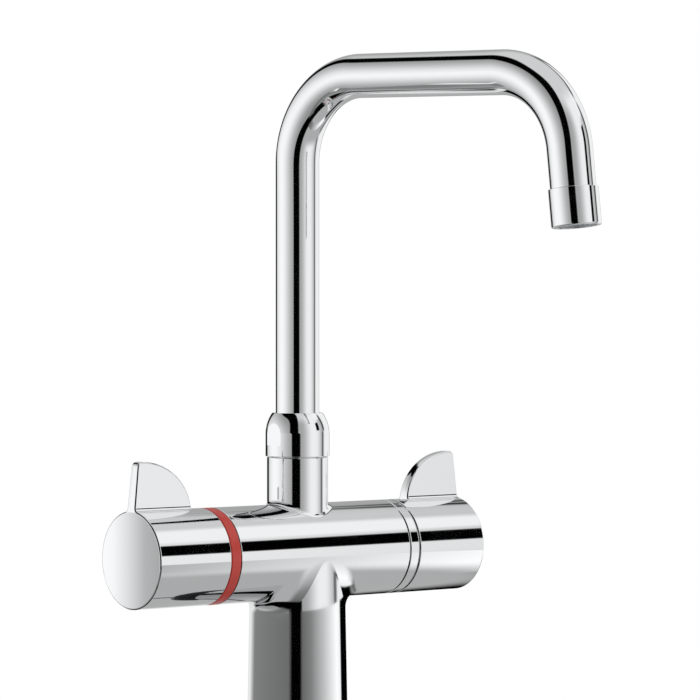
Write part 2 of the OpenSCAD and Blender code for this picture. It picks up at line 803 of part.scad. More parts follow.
module cartridge_spindle() {
    flange_t = 2;
    flange_x = cavity_end - running_gap - flange_t;
    color(brass) left_side() difference() {
        union() {
            rod_x(screw_d / 2, regulator_web_x, flange_x + 1);
            rod_x(spindle_d / 2 + 2, flange_x, flange_x + flange_t);
            rod_x(spindle_d / 2, flange_x, gland_end);
            rod_x(spline_d / 2, flange_x, spindle_end);
        }
        annular_groove(spindle_groove_r, spindle_d / 2 + 1, spindle_groove_x, spindle_groove_w);
    }
}

module cartridge_spindle_seal() {
    color(rubber) left_side()
        o_ring_x(spindle_groove_r, spindle_d / 2 + seat_gap, spindle_groove_x + spindle_groove_w / 2);
}

// Cup that the spindle's screw drives in and out, kept from turning by two keys
module regulating_nut() {
    color(brass) left_side() difference() {
        union() {
            rod_x(regulator_d / 2, regulator_x, regulator_end);
            rotate([45, 0, 0]) translate([regulator_web_x, -key_w / 2, -key_r])
                cube([key_l, key_w, 2 * key_r]);
        }
        rod_x(regulator_cup_r, regulator_x - 1, regulator_web_x);
        rod_x(screw_d / 2 + running_gap, regulator_x, regulator_end + 1);
    }
}

module overload_spring() {
    wire_r = overload_wire_d / 2;
    color(steel) left_side() translate([plunger_x + plunger_t, 0, 0]) rotate([0, 90, 0])
        coil(regulator_cup_r - spring_gap - wire_r, overload_wire_d, plunger_travel, 3);
}

module overload_plunger() {
    color(brass) left_side() rod_x(regulator_cup_r - running_gap, plunger_x, plunger_x + plunger_t);
}

// Wax cup, the flange it seats with, its guide through the shuttle's web, and its piston
module wax_element() {
    cup_l = 7;
    flange_t = 2;
    guide_l = 3;
    color(brass) left_side() {
        rod_x(wax_d / 2, wax_web_x - flange_t - cup_l, wax_web_x - flange_t);
        rod_x(wax_d / 2 + 1.8, wax_web_x - flange_t, wax_web_x);
        rod_x(wax_guide_r - seat_gap, wax_web_x, wax_web_x + guide_l);
        rod_x(wax_guide_r / 2, wax_web_x + guide_l, plunger_x);
    }
}

// Slide valve between the hot and the cold port, on a drilled web that carries the wax element
module shuttle() {
    web_t = 1.5;
    hole_r = 1.6;
    color(grey_plastic) left_side() difference() {
        rod_x(shuttle_r, shuttle_x, shuttle_x + shuttle_l);
        rod_x(shuttle_r - shuttle_wall, wax_web_x + web_t, shuttle_x + shuttle_l + 1);
        rod_x(shuttle_r - shuttle_wall, shuttle_x - 1, wax_web_x);
        rod_x(wax_guide_r, shuttle_x, shuttle_x + shuttle_l);
        for (a = [0:45:315]) rotate([a, 0, 0])
            translate([0, 0, (shuttle_r + wax_d / 2) / 2]) rod_x(hole_r, shuttle_x, shuttle_x + shuttle_l);
    }
}

module return_spring() {
    length = wax_web_x - cavity_start - 2 * running_gap;
    mean_r = shuttle_r - shuttle_wall - 0.4 - return_wire_d / 2;
    color(steel) left_side() translate([cavity_start + running_gap, 0, 0]) rotate([0, 90, 0])
        coil(mean_r, return_wire_d, length, 5);
}

// Ceramic headwork, from the seat to the gland

headwork_groove_r = headwork_bore_r - o_ring_t * ring_squeeze;
headwork_groove_x = headwork_land_x + 1.5;
headwork_spindle_groove_x = headwork_face + 3;

module headwork_body() {
    color(brass) right_side() difference() {
        union() {
            rod_x(headwork_wall_r, headwork_start, headwork_face);
            rod_x(headwork_bore_r, headwork_land_x, headwork_face + 1);
            translate([headwork_face, 0, 0]) rotate([0, 90, 0])
                cylinder(r = headwork_hex / sqrt(3), h = headwork_hex_t, $fn = 6);
            rod_x(gland_r, headwork_face, headwork_gland_end);
        }
        rod_x(disc_cavity_r, headwork_start - 1, headwork_cavity_end);
        rod_x(spindle_bore_r, headwork_start, headwork_gland_end + 1);
        annular_groove(headwork_groove_r, headwork_bore_r + 1, headwork_groove_x, groove_w);
        for (side = [0, 180]) rotate([side, 0, 0])
            translate([moving_disc_x, -5, 0]) cube([driver_x - moving_disc_x, 10, headwork_bore_r]);
    }
}

module headwork_o_ring() {
    color(rubber) right_side()
        o_ring_x(headwork_groove_r, headwork_bore_r, headwork_groove_x + groove_w / 2);
}

// Spindle with the flange and tang that turn the moving disc
module headwork_spindle() {
    color(brass) right_side() difference() {
        union() {
            rod_x(disc_r, driver_x, driver_x + driver_t);
            rod_x(spindle_d / 2, driver_x, headwork_gland_end);
            rod_x(spline_d / 2, driver_x, spindle_end);
            translate([driver_x - tang_l, -tang_w / 2, -disc_r / 2]) cube([tang_l + 1, tang_w, disc_r]);
        }
        annular_groove(spindle_groove_r, spindle_d / 2 + 1, headwork_spindle_groove_x, spindle_groove_w);
    }
}

module headwork_spindle_seal() {
    color(rubber) right_side() o_ring_x(spindle_groove_r, spindle_d / 2 + seat_gap,
        headwork_spindle_groove_x + spindle_groove_w / 2);
}

// The two water windows of a disc are quarter rings, cut by a wedge
module disc_windows(x, turn) {
    outer_r = disc_r - 1.5;
    for (side = [0, 180]) rotate([turn + side, 0, 0]) intersection() {
        ring_x(outer_r, 2.6, x - 1, x + disc_t + 1);
        translate([x - 2, 0, 0]) rotate([45, 0, 0]) cube([disc_t + 4, disc_d, disc_d]);
    }
}

module moving_disc() {
    slot_w = tang_w + 2 * seat_gap;
    color(ceramic) right_side() difference() {
        rod_x(disc_r, moving_disc_x, moving_disc_x + disc_t);
        translate([driver_x - tang_l - 0.1, -slot_w / 2, -disc_r / 2 - 0.1])
            cube([tang_l + 2, slot_w, disc_r + 0.2]);
        for (side = [-1, 1]) translate([moving_disc_x - 1, side * disc_r, 0])
            rod_x(disc_r * 0.45, 0, disc_t + 2);
    }
}

module fixed_disc() {
    color(ceramic) right_side() difference() {
        rod_x(disc_r, fixed_disc_x, moving_disc_x);
        disc_windows(fixed_disc_x, 0);
    }
}

module disc_seal() {
    color(rubber) right_side()
        ring_x(disc_cavity_r - seat_gap, mixed_duct_d / 2, headwork_seat, fixed_disc_x);
}

// Check valves in the inlets, written for an inlet at the origin

valve_chamber_r = valve_d / 2 - 1;
valve_guide_z = valve_z + valve_l - valve_cap_t;
poppet_z = valve_z + valve_seat_t;

module valve_body() {
    color(white_plastic) translate([0, 0, valve_z]) difference() {
        cylinder(d = valve_d, h = valve_l);
        translate([0, 0, -1]) cylinder(d = valve_seat_d, h = valve_l);
        translate([0, 0, valve_seat_t])
            cylinder(r = valve_chamber_r, h = valve_l - valve_seat_t - valve_cap_t);
        cylinder(r = valve_stem_d / 2 + running_gap, h = valve_l + 1);
        for (a = [0:90:270]) rotate([0, 0, a]) translate([valve_chamber_r * 0.6, 0, valve_seat_t + 1])
            cylinder(r = 1, h = valve_l);
    }
}

module poppet() {
    color(grey_plastic) {
        translate([0, 0, poppet_z]) cylinder(d = valve_seat_d + 1.4, h = poppet_t);
        translate([0, 0, poppet_z]) cylinder(d = valve_stem_d, h = valve_guide_z + valve_cap_t - poppet_z);
    }
}

module valve_spring() {
    bottom = poppet_z + poppet_t;
    color(steel) translate([0, 0, bottom + 0.02])
        coil(valve_stem_d / 2 + 0.6 + valve_wire_d / 2, valve_wire_d, valve_guide_z - bottom - 0.04, 6);
}

module hot_valve_body() {
    translate([0, inlet_y, 0]) valve_body();
}

module hot_poppet() {
    translate([0, inlet_y, 0]) poppet();
}

module hot_valve_spring() {
    translate([0, inlet_y, 0]) valve_spring();
}

module cold_valve_body() {
    translate([0, -inlet_y, 0]) valve_body();
}

module cold_poppet() {
    translate([0, -inlet_y, 0]) poppet();
}

module cold_valve_spring() {
    translate([0, -inlet_y, 0]) valve_spring();
}

body();
base_seal();
fixing_studs();
clamp_rubber();
clamp_plate();
stud_nuts();
spout_tube();
spout_nipple();
spout_o_rings();
slip_ring();
spout_nut();
aerator_housing();
aerator_seal();
aerator_insert();
aerator_screen();
temperature_ring();
temperature_handle();
temperature_grub_screw();
cartridge_housing();
cartridge_nut();
cartridge_o_rings();
port_strainers();
cartridge_spindle();
cartridge_spindle_seal();
regulating_nut();
overload_spring();
overload_plunger();
wax_element();
shuttle();
return_spring();
flow_ring();
flow_handle();
flow_grub_screw();
headwork_body();
headwork_o_ring();
headwork_spindle();
headwork_spindle_seal();
moving_disc();
fixed_disc();
disc_seal();
hot_valve_body();
hot_poppet();
hot_valve_spring();
cold_valve_body();
cold_poppet();
cold_valve_spring();
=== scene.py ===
"""Looks of a thermostatic sink mixer: chromed body, two lever handles and a swivel tube spout.

Each chromed piece is built from its own surfaces, so that its mirror finish has true normals.
Shapes are worked out in millimetres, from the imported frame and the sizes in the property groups.
"""

import json
import math
from types import SimpleNamespace

import bmesh
import bpy
import numpy as np
from bpy.props import FloatProperty, FloatVectorProperty, PointerProperty
from mathutils import Matrix, Vector, kdtree
from mathutils.geometry import tessellate_polygon


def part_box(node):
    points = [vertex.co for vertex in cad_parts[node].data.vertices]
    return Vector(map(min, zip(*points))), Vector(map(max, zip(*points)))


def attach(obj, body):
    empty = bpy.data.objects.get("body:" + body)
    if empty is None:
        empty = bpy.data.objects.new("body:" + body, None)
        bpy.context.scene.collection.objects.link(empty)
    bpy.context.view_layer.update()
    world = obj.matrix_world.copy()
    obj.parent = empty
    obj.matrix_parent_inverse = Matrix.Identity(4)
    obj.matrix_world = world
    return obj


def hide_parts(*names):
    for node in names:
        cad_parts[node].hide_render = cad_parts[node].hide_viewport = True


bl_info = {
    "name": "Thermostatic sink mixer",
    "version": (1, 0, 0),
    "blender": (4, 5, 0),
    "location": "View3D > Sidebar > Sink mixer",
    "description": "Dresses the packed frame of a thermostatic sink mixer",
    "category": "Object",
}

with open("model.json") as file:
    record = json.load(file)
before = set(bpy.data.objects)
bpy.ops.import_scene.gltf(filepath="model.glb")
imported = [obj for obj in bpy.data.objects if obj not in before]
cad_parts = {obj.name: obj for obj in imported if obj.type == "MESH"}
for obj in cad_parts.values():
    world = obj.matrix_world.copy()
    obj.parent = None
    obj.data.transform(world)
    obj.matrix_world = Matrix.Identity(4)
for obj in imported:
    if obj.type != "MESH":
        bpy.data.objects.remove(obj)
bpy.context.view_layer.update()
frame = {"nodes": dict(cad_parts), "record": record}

MM = 0.001
X, Y, Z = np.eye(3)
# Points closer than this are welded, in millimetres
WELD = 0.0008


def low(node):
    """Lowest corner of a CAD node in millimetres."""
    return np.array(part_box(node)[0]) / MM


def high(node):
    """Highest corner of a CAD node in millimetres."""
    return np.array(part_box(node)[1]) / MM


# Fits, in millimetres like every size below
SEAT_GAP = 0.02
RUNNING_GAP = 0.05
MOUTH_GAP = 0.1
# Room past the ends of what sits in a bore
BORE_ROOM = 1
STUD_ROOM = 0.5
SEAT_ROOM = 0.2
# Radii on hidden edges
EDGE_BREAK = 0.2
NOSE_EDGE = 0.4
THREAD_EDGE = 0.6
# Share of the room between its neighbours that an edge's arc takes, so that they never touch, and
# less of it at the foot, whose corner is a little sharper than square
EDGE_SHARE = 0.99
FOOT_SHARE = 0.9

# Places taken from the frame
BODY_R = (high("flow_ring")[1] - low("flow_ring")[1]) / 2
AXIS_Z = (high("flow_ring")[2] + low("flow_ring")[2]) / 2
BODY_HALF = low("flow_ring")[0]
NOSE_END = high("body")[0]
FOOT_R = high("body")[1]
THREAD_TOP = high("body")[2] - AXIS_Z
SPINDLE_END = high("headwork_spindle")[0]
HANDLE_L = high("flow_handle")[0] - low("flow_handle")[0]
LEVER_TOP = high("flow_handle")[2] - AXIS_Z
NUT_FOOT = low("spout_nut")[2]
NUT_TOP = high("spout_nut")[2]
NUT_CEILING = high("slip_ring")[2] + RUNNING_GAP - NUT_FOOT

# Sizes of the frame's own pieces that their boxes don't show
TUBE_R = 11
NECK_THREAD_R = 13.2
NOSE_R = BODY_R - 3 - RUNNING_GAP
SPLINE_R = 4 + SEAT_GAP
SEAL_W = 3.5
STUD_R = 3
INLET_R = 5.75
# The bores along the barrel: side, what sits in it, its radius and where its wide mouth starts
BORES = ((-X, "cartridge_housing", 15, 48), (X, "headwork_body", 12, 52))


# Property groups

def length(name, text, default):
    """A size property in metres, written here in millimetres."""
    return FloatProperty(name=name, description=text, default=default * MM, min=0.0,
                         unit="LENGTH", precision=5)


def colour(name, text, default):
    """A colour property written as an sRGB hex value."""
    return FloatVectorProperty(name=name, description=text, default=linear(default), size=4,
                               subtype="COLOR", min=0.0, max=1.0)


def linear(hex_colour):
    """Linear RGBA of an sRGB hex colour."""
    parts = [int(hex_colour[i:i + 2], 16) / 255 for i in (1, 3, 5)]
    return [p / 12.92 if p <= 0.04045 else ((p + 0.055) / 1.055) ** 2.4 for p in parts] + [1.0]


class MixerBodySizes(bpy.types.PropertyGroup):
    neck_d: length("Neck diameter", "Diameter of the neck under the spout nut", 30.9)
    neck_h: length("Neck height", "Height of the neck's shoulder above the body axis", 48)
    column_d: length("Column diameter", "Diameter of the column at the body axis", 47.6)
    neck_fillet: length("Neck fillet", "Radius where the neck grows out of the body", 3)
    column_fillet: length("Column fillet", "Radius between the column and the body's underside", 6)
    saddle_fillet: length("Saddle fillet", "Radius between the column and the body's front", 22)
    foot_edge: length("Foot edge", "Radius round the column's foot", 0.6)
    edge: length("Edge radius", "Radius that polishing leaves on the body's edges", 0.7)
    red_edge: length("Red ring edge", "Radius on the edges of the red ring", 0.3)
    flow_edge: length("Flow ring edge", "Radius on the edges of the chromed ring", 0.9)


class MixerSpoutSizes(bpy.types.PropertyGroup):
    tube_d: length("Tube diameter", "Outer diameter of the spout tube", 2 * TUBE_R)
    tube_wall: length("Tube wall", "Wall of the spout tube", 1)
    bend_r: length("Bend radius", "Radius of the bends at the middle of the tube", 42.5)
    spout_h: length("Spout height", "Height of the run above the body axis", 238.6)
    run_l: length("Run length", "Straight length between the two bends", 90.88)
    leg_l: length("Leg length", "Straight length below the second bend", 26)
    run_fall: FloatProperty(name="Run fall", description="Angle that the run falls towards the outlet",
                            default=math.radians(1.2), subtype="ANGLE")
    leg_lean: FloatProperty(name="Leg lean", description="Angle that the leg leans from the vertical",
                            default=math.radians(6.5), subtype="ANGLE")
    swivel: FloatProperty(name="Swivel", description="Swivel of the spout towards the flow handle",
                          default=math.radians(8), subtype="ANGLE")
    nut_top_d: length("Nut mouth", "Diameter of the nut's mouth round the tube", 25.6)
    nut_wall_h: length("Nut wall", "Height of the nut's cylindrical part", 11)
    nut_flats: length("Nut flats", "Distance across the two milled flats", 30.6)
    flat_step: length("Flat step", "Height of the flats' lower step above the nut's foot", 5.7)
    nut_edge: length("Nut edge", "Radius round the nut's foot", 0.3)
    aerator_d: length("Aerator diameter", "Outer diameter of the aerator housing", 24)
    aerator_l: length("Aerator length", "Length of the aerator housing", 18.3)
    aerator_lap: length("Aerator lap", "Length of the leg that the aerator housing covers", 7)
    aerator_lip_d: length("Lip diameter", "Diameter of the opening at the aerator housing's foot", 19.24)
    aerator_lip: length("Lip thickness", "Thickness of the lip at the aerator housing's foot", 1)
    aerator_rim: length("Aerator rim", "Radius at the top of the aerator housing", 0.25)
    aerator_edge: length("Aerator edge", "Radius at the foot of the aerator housing", 0.8)


class MixerHandleSizes(bpy.types.PropertyGroup):
    wall: length("Shell wall", "Wall of the handle's shell", 3)
    end_t: length("End thickness", "Thickness of the handle's end face", 5)
    hub_d: length("Hub diameter", "Diameter of the hub that grips the spindle", 16)
    lever_l: length("Lever length", "Length of the lever along the handle", 35)
    root_t: length("Root thickness", "Thickness of the lever at its root", 6.3)
    tip_t: length("Tip thickness", "Thickness of the lever at its top", 5.6)
    lean: length("Lever lean", "Amount that the lever's outer edge leans in by its top", 2.4)
    lean_blend: length("Lean blend", "Radius where the outer edge starts to lean in", 12)
    upright: length("Upright foot", "Height over which the outer edge rises before it leans in", 0.67)
    corner: length("Lever corner", "Radius of the lever's upper outer corner", 2.6)
    sink: length("Curve sink", "Depth below the barrel's top where the inner curve would stand upright",
                 2.2)
    root_fillet: length("Root fillet", "Radius where the lever grows out of the handle", 2.4)
    edge: length("Edge radius", "Radius on the edges of the handle and the lever", 0.8)
    crown: FloatProperty(name="Cap crown", description="Slope of the lever's narrow edge either side of "
                         "its middle", default=0.17)
    grub_d: length("Grub screw", "Diameter of the grub screw's hole", 4.04)


class MixerColours(bpy.types.PropertyGroup):
    chrome: colour("Chrome", "Chrome plate", "#EDEEEF")
    red: colour("Red ring", "Moulded ring of the temperature handle", "#B8382F")
    rubber: colour("Rubber", "Seals", "#26272A")
    brass: colour("Brass", "Turned brass", "#C8A452")
    steel: colour("Steel", "Stainless steel", "#A9ADB1")
    white: colour("White plastic", "Slip ring", "#E8E8E4")
    grey: colour("Grey plastic", "Aerator insert and shuttle", "#8D9298")
    ceramic: colour("Ceramic", "Valve discs", "#F3F0EA")


def sizes(group):
    """A property group's sizes in millimetres, with its angles in radians."""
    values = {}
    for name, kind in group.bl_rna.properties.items():
        if kind.type == "FLOAT" and not kind.is_array:
            value = getattr(group, name)
            values[name] = value / MM if kind.unit == "LENGTH" else value
    return SimpleNamespace(**values)


# Surfaces

def unit(vectors):
    """Vectors along the last axis, made one long."""
    vectors = np.asarray(vectors, float)
    return vectors / np.linalg.norm(vectors, axis=-1, keepdims=True)


def between(a, b, steps):
    """Directions on the arc from unit vectors a to b, along a new axis."""
    a, b = np.asarray(a, float)[..., None, :], np.asarray(b, float)[..., None, :]
    t = np.linspace(0, 1, steps + 1)[:, None]
    angle = np.arccos(np.clip((a * b).sum(-1, keepdims=True), -1, 1))
    sine = np.maximum(np.sin(angle), 1e-9)
    return unit((np.sin((1 - t) * angle) * a + np.sin(t * angle) * b) / sine)


class Skin:
    """Patches of points in millimetres with their true normals, welded into one mesh."""

    def __init__(self):
        self.points, self.normals, self.faces, self.count = [], [], [], 0

    def add(self, points, normals, faces):
        """Adds a patch. One normal does for all of its points."""
        points = np.asarray(points, float).reshape(-1, 3)
        normals = np.asarray(normals, float).reshape(-1, 3) if np.ndim(normals) > 1 else normals
        self.points.append(points)
        self.normals.append(np.broadcast_to(normals, points.shape))
        self.faces += [[i + self.count for i in face] for face in faces]
        self.count += len(points)

    def grid(self, points, normals):
        """Adds a patch of rows and columns of points."""
        rows, cols = points.shape[:2]
        normals = np.broadcast_to(normals, points.shape)
        self.add(points, normals, [(r * cols + c, r * cols + c + 1, (r + 1) * cols + c + 1,
                                    (r + 1) * cols + c)
                                   for r in range(rows - 1) for c in range(cols - 1)])

    def fill(self, loops, place):
        """Fills flat loops of (u, v), holes after the outer one. place gives point and normal."""
        flat = [p for loop in loops for p in loop]
        triangles = tessellate_polygon([[Vector((u, v, 0)) for u, v in loop] for loop in loops])
        corners = [place(u, v) for u, v in flat]
        self.add([p for p, _ in corners], [n for _, n in corners], triangles)

    def mirror(self, axis):
        """Adds the mirror image of everything so far across the plane through the origin."""
        flip = np.ones(3)
        flip[axis] = -1
        self.add(np.concatenate(self.points) * flip, np.concatenate(self.normals) * flip,
                 list(self.faces))

    def mesh(self, name, move=(0, 0, 0)):
        """The welded mesh, wound to agree with the normals, which it keeps."""
        points, normals = np.concatenate(self.points), np.concatenate(self.normals)
        tree = kdtree.KDTree(len(points))
        for i, p in enumerate(points):
            tree.insert(p, i)
        tree.balance()
        first = [-1] * len(points)
        kept = []
        for i, p in enumerate(points):
            if first[i] < 0:
                for _, j, _ in tree.find_range(p, WELD):
                    if first[j] < 0:
                        first[j] = len(kept)
                kept.append(p)
        faces, loops = [], []
        for face in self.faces:
            ring = [i for k, i in enumerate(face) if first[i] != first[face[k - 1]]]
            if len({first[i] for i in ring}) < 3:
                continue
            corners = points[ring]
            newell = np.cross(corners, np.roll(corners, -1, axis=0)).sum(0)
            if newell @ normals[ring].sum(0) < 0:
                ring = ring[::-1]
            faces.append([first[i] for i in ring])
            loops += [normals[i] for i in ring]
        mesh = bpy.data.meshes.new(name)
        mesh.from_pydata((np.array(kept) + move) * MM, [], faces)
        mesh.shade_smooth()
        mesh.normals_split_custom_set(unit(loops))
        return mesh


# How far buffing flattens an edge, where 1 is quite flat, and how it leans on a turned edge
BUFFING = 0.75
TURNED_LEAN = (1.1, 0.9)


def buffed(ways, lean):
    """Normals of a rounded edge that buffing has flattened in its middle.

    lean weighs the axes, so that the flat turns a little more one way than the other.
    """
    middle = unit((ways[..., :1, :] + ways[..., -1:, :]) * lean)
    normals = unit((1 - BUFFING) * ways + BUFFING * middle)
    normals[..., 0, :], normals[..., -1, :] = ways[..., 0, :], ways[..., -1, :]
    return normals


def rounded(corners, steps=4, buff=False):
    """Outline through (a, b, radius) corners, with the solid on the left of the travel.

    Gives the points and their normals. A corner of radius 0 is sharp and comes twice.
    """
    places = np.array([c[:2] for c in corners], float)
    radii = [c[2] if len(c) > 2 else 0 for c in corners]
    along = unit(np.diff(places, axis=0))
    right = np.stack([along[:, 1], -along[:, 0]], axis=1)
    points, normals = [places[0]], [right[0]]
    for i in range(1, len(places) - 1):
        turn = math.acos(max(-1, min(1, along[i - 1] @ along[i])))
        cut = radii[i] * math.tan(turn / 2)
        if cut < 1e-6:
            points += [places[i], places[i]]
            normals += [right[i - 1], right[i]]
            continue
        side = math.copysign(1, right[i - 1] @ along[i]) * -1
        centre = places[i] - cut * along[i - 1] - side * radii[i] * right[i - 1]
        ways = between(right[i - 1], right[i], steps)
        points += list(centre + side * radii[i] * ways)
        normals += list(buffed(ways, TURNED_LEAN) if buff else ways)
    points.append(places[-1])
    normals.append(right[-1])
    return np.array(points), np.array(normals)


def turned(skin, outline, angles, origin=(0, 0, 0), axis=Z, start=X, side=Y):
    """Revolves an outline of (radius, height) round an axis, with its normals."""
    points, normals = outline
    way = np.cos(angles)[:, None] * start + np.sin(angles)[:, None] * side
    spread = points[:, None, :1] * way + points[:, None, 1:] * np.asarray(axis)
    skin.grid(spread + np.asarray(origin, float),
              normals[:, None, :1] * way + normals[:, None, 1:] * np.asarray(axis))


def circle(steps):
    """Angles of a full round, with both ends."""
    return np.linspace(0, 2 * math.pi, steps + 1)


def placed(name, data):
    """A new object in the scene, at the origin."""
    made = bpy.data.objects.new(name, data)
    bpy.context.scene.collection.objects.link(made)
    return made


def piece(name, mesh, finish, body, *nodes):
    """Makes a finished piece that rides on a body and stands for CAD nodes."""
    made = placed(name, mesh)
    mesh.materials.clear()
    mesh.materials.append(bpy.data.materials[FINISHES[finish]])
    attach(made, body)
    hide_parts(*nodes)


# Body

def rolling_fillet(azimuths, up, hub_r, slope, fillet):
    """A ball rolled between the body and an upright hub, for each azimuth.

    hub_r is the hub's radius at the body axis and slope its growth away from the axis. fillet is
    the ball's radius for each azimuth. Gives the ball's centres, and its directions from the body
    to the hub.
    """
    tilt = math.atan(slope)
    drop = np.zeros(len(azimuths))
    for _ in range(8):
        reach = hub_r + slope * drop + fillet / math.cos(tilt)
        drop = np.sqrt((BODY_R + fillet) ** 2 - (reach * np.sin(azimuths)) ** 2)
    centres = np.stack([reach * np.cos(azimuths), reach * np.sin(azimuths), up * drop], axis=1)
    to_body = -unit(centres * [0, 1, 1])
    to_hub = -unit(np.stack([np.cos(azimuths), np.sin(azimuths),
                             np.full(len(azimuths), -up * math.tan(tilt))], axis=1))
    return centres, between(to_body, to_hub, 8)


def build_body(s):
    """The mixer's body: barrel, column, neck and the bores that the inner pieces sit in."""
    skin = Skin()
    # The neck above and the column below, a quarter of each, with their fillets into the barrel.
    # The column's fillet grows towards the front, where it blends into a saddle.
    quarter = np.radians(np.linspace(0, 90, 31))
    slope = (FOOT_R - s.column_d / 2) / AXIS_Z
    rims = {}
    front = np.sin(quarter) ** 2
    for up, hub_r, hub_slope, fillet in (
            (1, s.neck_d / 2, 0, np.full(len(quarter), s.neck_fillet)),
            (-1, s.column_d / 2, slope, s.column_fillet + (s.saddle_fillet - s.column_fillet) * front)):
        centres, ways = rolling_fillet(quarter, up, hub_r, hub_slope, fillet)
        surface = centres[:, None] + fillet[:, None, None] * ways
        skin.grid(surface, -ways)
        rims[up] = surface[:, 0]
        end = s.neck_h - s.edge if up > 0 else s.foot_edge - AXIS_Z
        end_r = hub_r + hub_slope * abs(end)
        ends = np.stack([end_r * np.cos(quarter), end_r * np.sin(quarter),
                         np.full(len(quarter), end)], axis=1)
        skin.grid(np.stack([surface[:, -1], ends], axis=1),
                  np.stack([-ways[:, -1], -ways[:, -1]], axis=1))

    # A quarter of the barrel, from the fillets' rims and the waist between them to its end
    top, foot = rims[1], rims[-1][::-1]
    top_turn, foot_turn = (np.arctan2(rim[:, 1], rim[:, 2]) for rim in (top, foot))
    waist = np.linspace(top_turn[-1], foot_turn[0], 26)[1:-1]
    turns = np.concatenate([top_turn, waist, foot_turn])
    starts = np.concatenate([top[:, 0], np.zeros(len(waist)), foot[:, 0]])
    end_turns = np.linspace(0, math.pi, len(turns))
    share = np.linspace(0, 1, 19)
    along = starts[:, None] + (BODY_HALF - s.edge - starts[:, None]) * share
    turn = turns[:, None] + (end_turns - turns)[:, None] * share
    barrel = np.stack([along, BODY_R * np.sin(turn), BODY_R * np.cos(turn)], axis=2)
    skin.grid(barrel, barrel * [0, 1, 1] / BODY_R)
    skin.mirror(0)
    skin.mirror(1)

    # The ends of the barrel with their noses and bores, then the neck's thread and bore
    round_x = np.concatenate([end_turns, 2 * math.pi - end_turns[-2::-1]])
    mouth_r = high("cartridge_nut")[1] + SEAT_GAP
    for axis, insert, insert_r, mouth in BORES:
        bore_r = insert_r + SEAT_GAP
        seat = min(abs(low(insert)[0]), abs(high(insert)[0])) - SEAT_ROOM
        turned(skin, rounded([(BODY_R, BODY_HALF - s.edge), (BODY_R, BODY_HALF, s.edge * EDGE_SHARE),
                              (NOSE_R, BODY_HALF), (NOSE_R, NOSE_END, NOSE_EDGE),
                              (mouth_r, NOSE_END, EDGE_BREAK), (mouth_r, mouth), (bore_r, mouth),
                              (bore_r, seat), (0, seat)], buff=True),
               round_x, axis=axis, start=Z, side=Y)

    round_z = np.concatenate([quarter + k * math.pi / 2 for k in range(4)])
    neck_bore_r = TUBE_R + RUNNING_GAP
    bore_foot = low("spout_nipple")[2] - AXIS_Z - BORE_ROOM
    turned(skin, rounded([(s.neck_d / 2, s.neck_h - s.edge), (s.neck_d / 2, s.neck_h, s.edge * EDGE_SHARE),
                          (NECK_THREAD_R, s.neck_h), (NECK_THREAD_R, THREAD_TOP, THREAD_EDGE),
                          (neck_bore_r, THREAD_TOP, EDGE_BREAK), (neck_bore_r, bore_foot),
                          (0, bore_foot)]), round_z)
    build_foot(skin, s, round_z)
    return skin.mesh("body_shell", (0, 0, AXIS_Z))


def build_foot(skin, s, round_z):
    """The column's underside: the seal's groove, the two inlets and the two stud holes."""
    ground = -AXIS_Z
    seal_out = high("base_seal")[0] + SEAT_GAP
    seal_in = seal_out - SEAL_W - 2 * SEAT_GAP
    seal_top = ground + high("base_seal")[2] + SEAT_GAP
    rim_r = s.column_d / 2 + (FOOT_R - s.column_d / 2) * (1 - s.foot_edge / AXIS_Z)
    turned(skin, rounded([(seal_in, ground), (seal_in, seal_top), (seal_out, seal_top),
                          (seal_out, ground), (FOOT_R, ground, s.foot_edge * FOOT_SHARE),
                          (rim_r, ground + s.foot_edge)]), round_z)
    stud_x, _, stud_top = high("fixing_studs") - [STUD_R, 0, 0]
    valve_y = (high("hot_valve_body")[1] + low("hot_valve_body")[1]) / 2
    holes = [(side * stud_x, 0, STUD_R + SEAT_GAP, stud_top + STUD_ROOM) for side in (-1, 1)]
    holes += [(0, side * valve_y, INLET_R, high("hot_valve_body")[2]) for side in (-1, 1)]
    ring = circle(32)
    loops = [[(seal_in * math.cos(a), seal_in * math.sin(a)) for a in unique_angles(round_z)]]
    for x, y, r, depth in holes:
        loops.append([(x + r * math.cos(a), y + r * math.sin(a)) for a in ring[:-1]])
        turned(skin, rounded([(0, ground + depth), (r, ground + depth), (r, ground)]),
               ring, origin=(x, y, 0))
    skin.fill(loops, lambda u, v: ((u, v, ground), (0, 0, -1)))


def unique_angles(angles):
    """The angles of a full round without repeats or the closing one."""
    kept = [angles[0]]
    for a in angles[1:]:
        if a - kept[-1] > 1e-6:
            kept.append(a)
    return kept[:-1]


# Handles

# Distance from the body's nose to the hub
HUB_START = 4
# Widths of barrel round the grub screw's hole, along the handle and round it
GRUB_MARGIN = 1.5
GRUB_CLEAR = 0.6
# Height above its toe over which the lever's cap takes its full crown
CROWN_RISE = 6
# How buffing leans on the edge of the end face
FACE_LEAN = (0.9, 1.1, 1.1)
# Least width of a strip of barrel beside the hole
SLIVER = 0.01


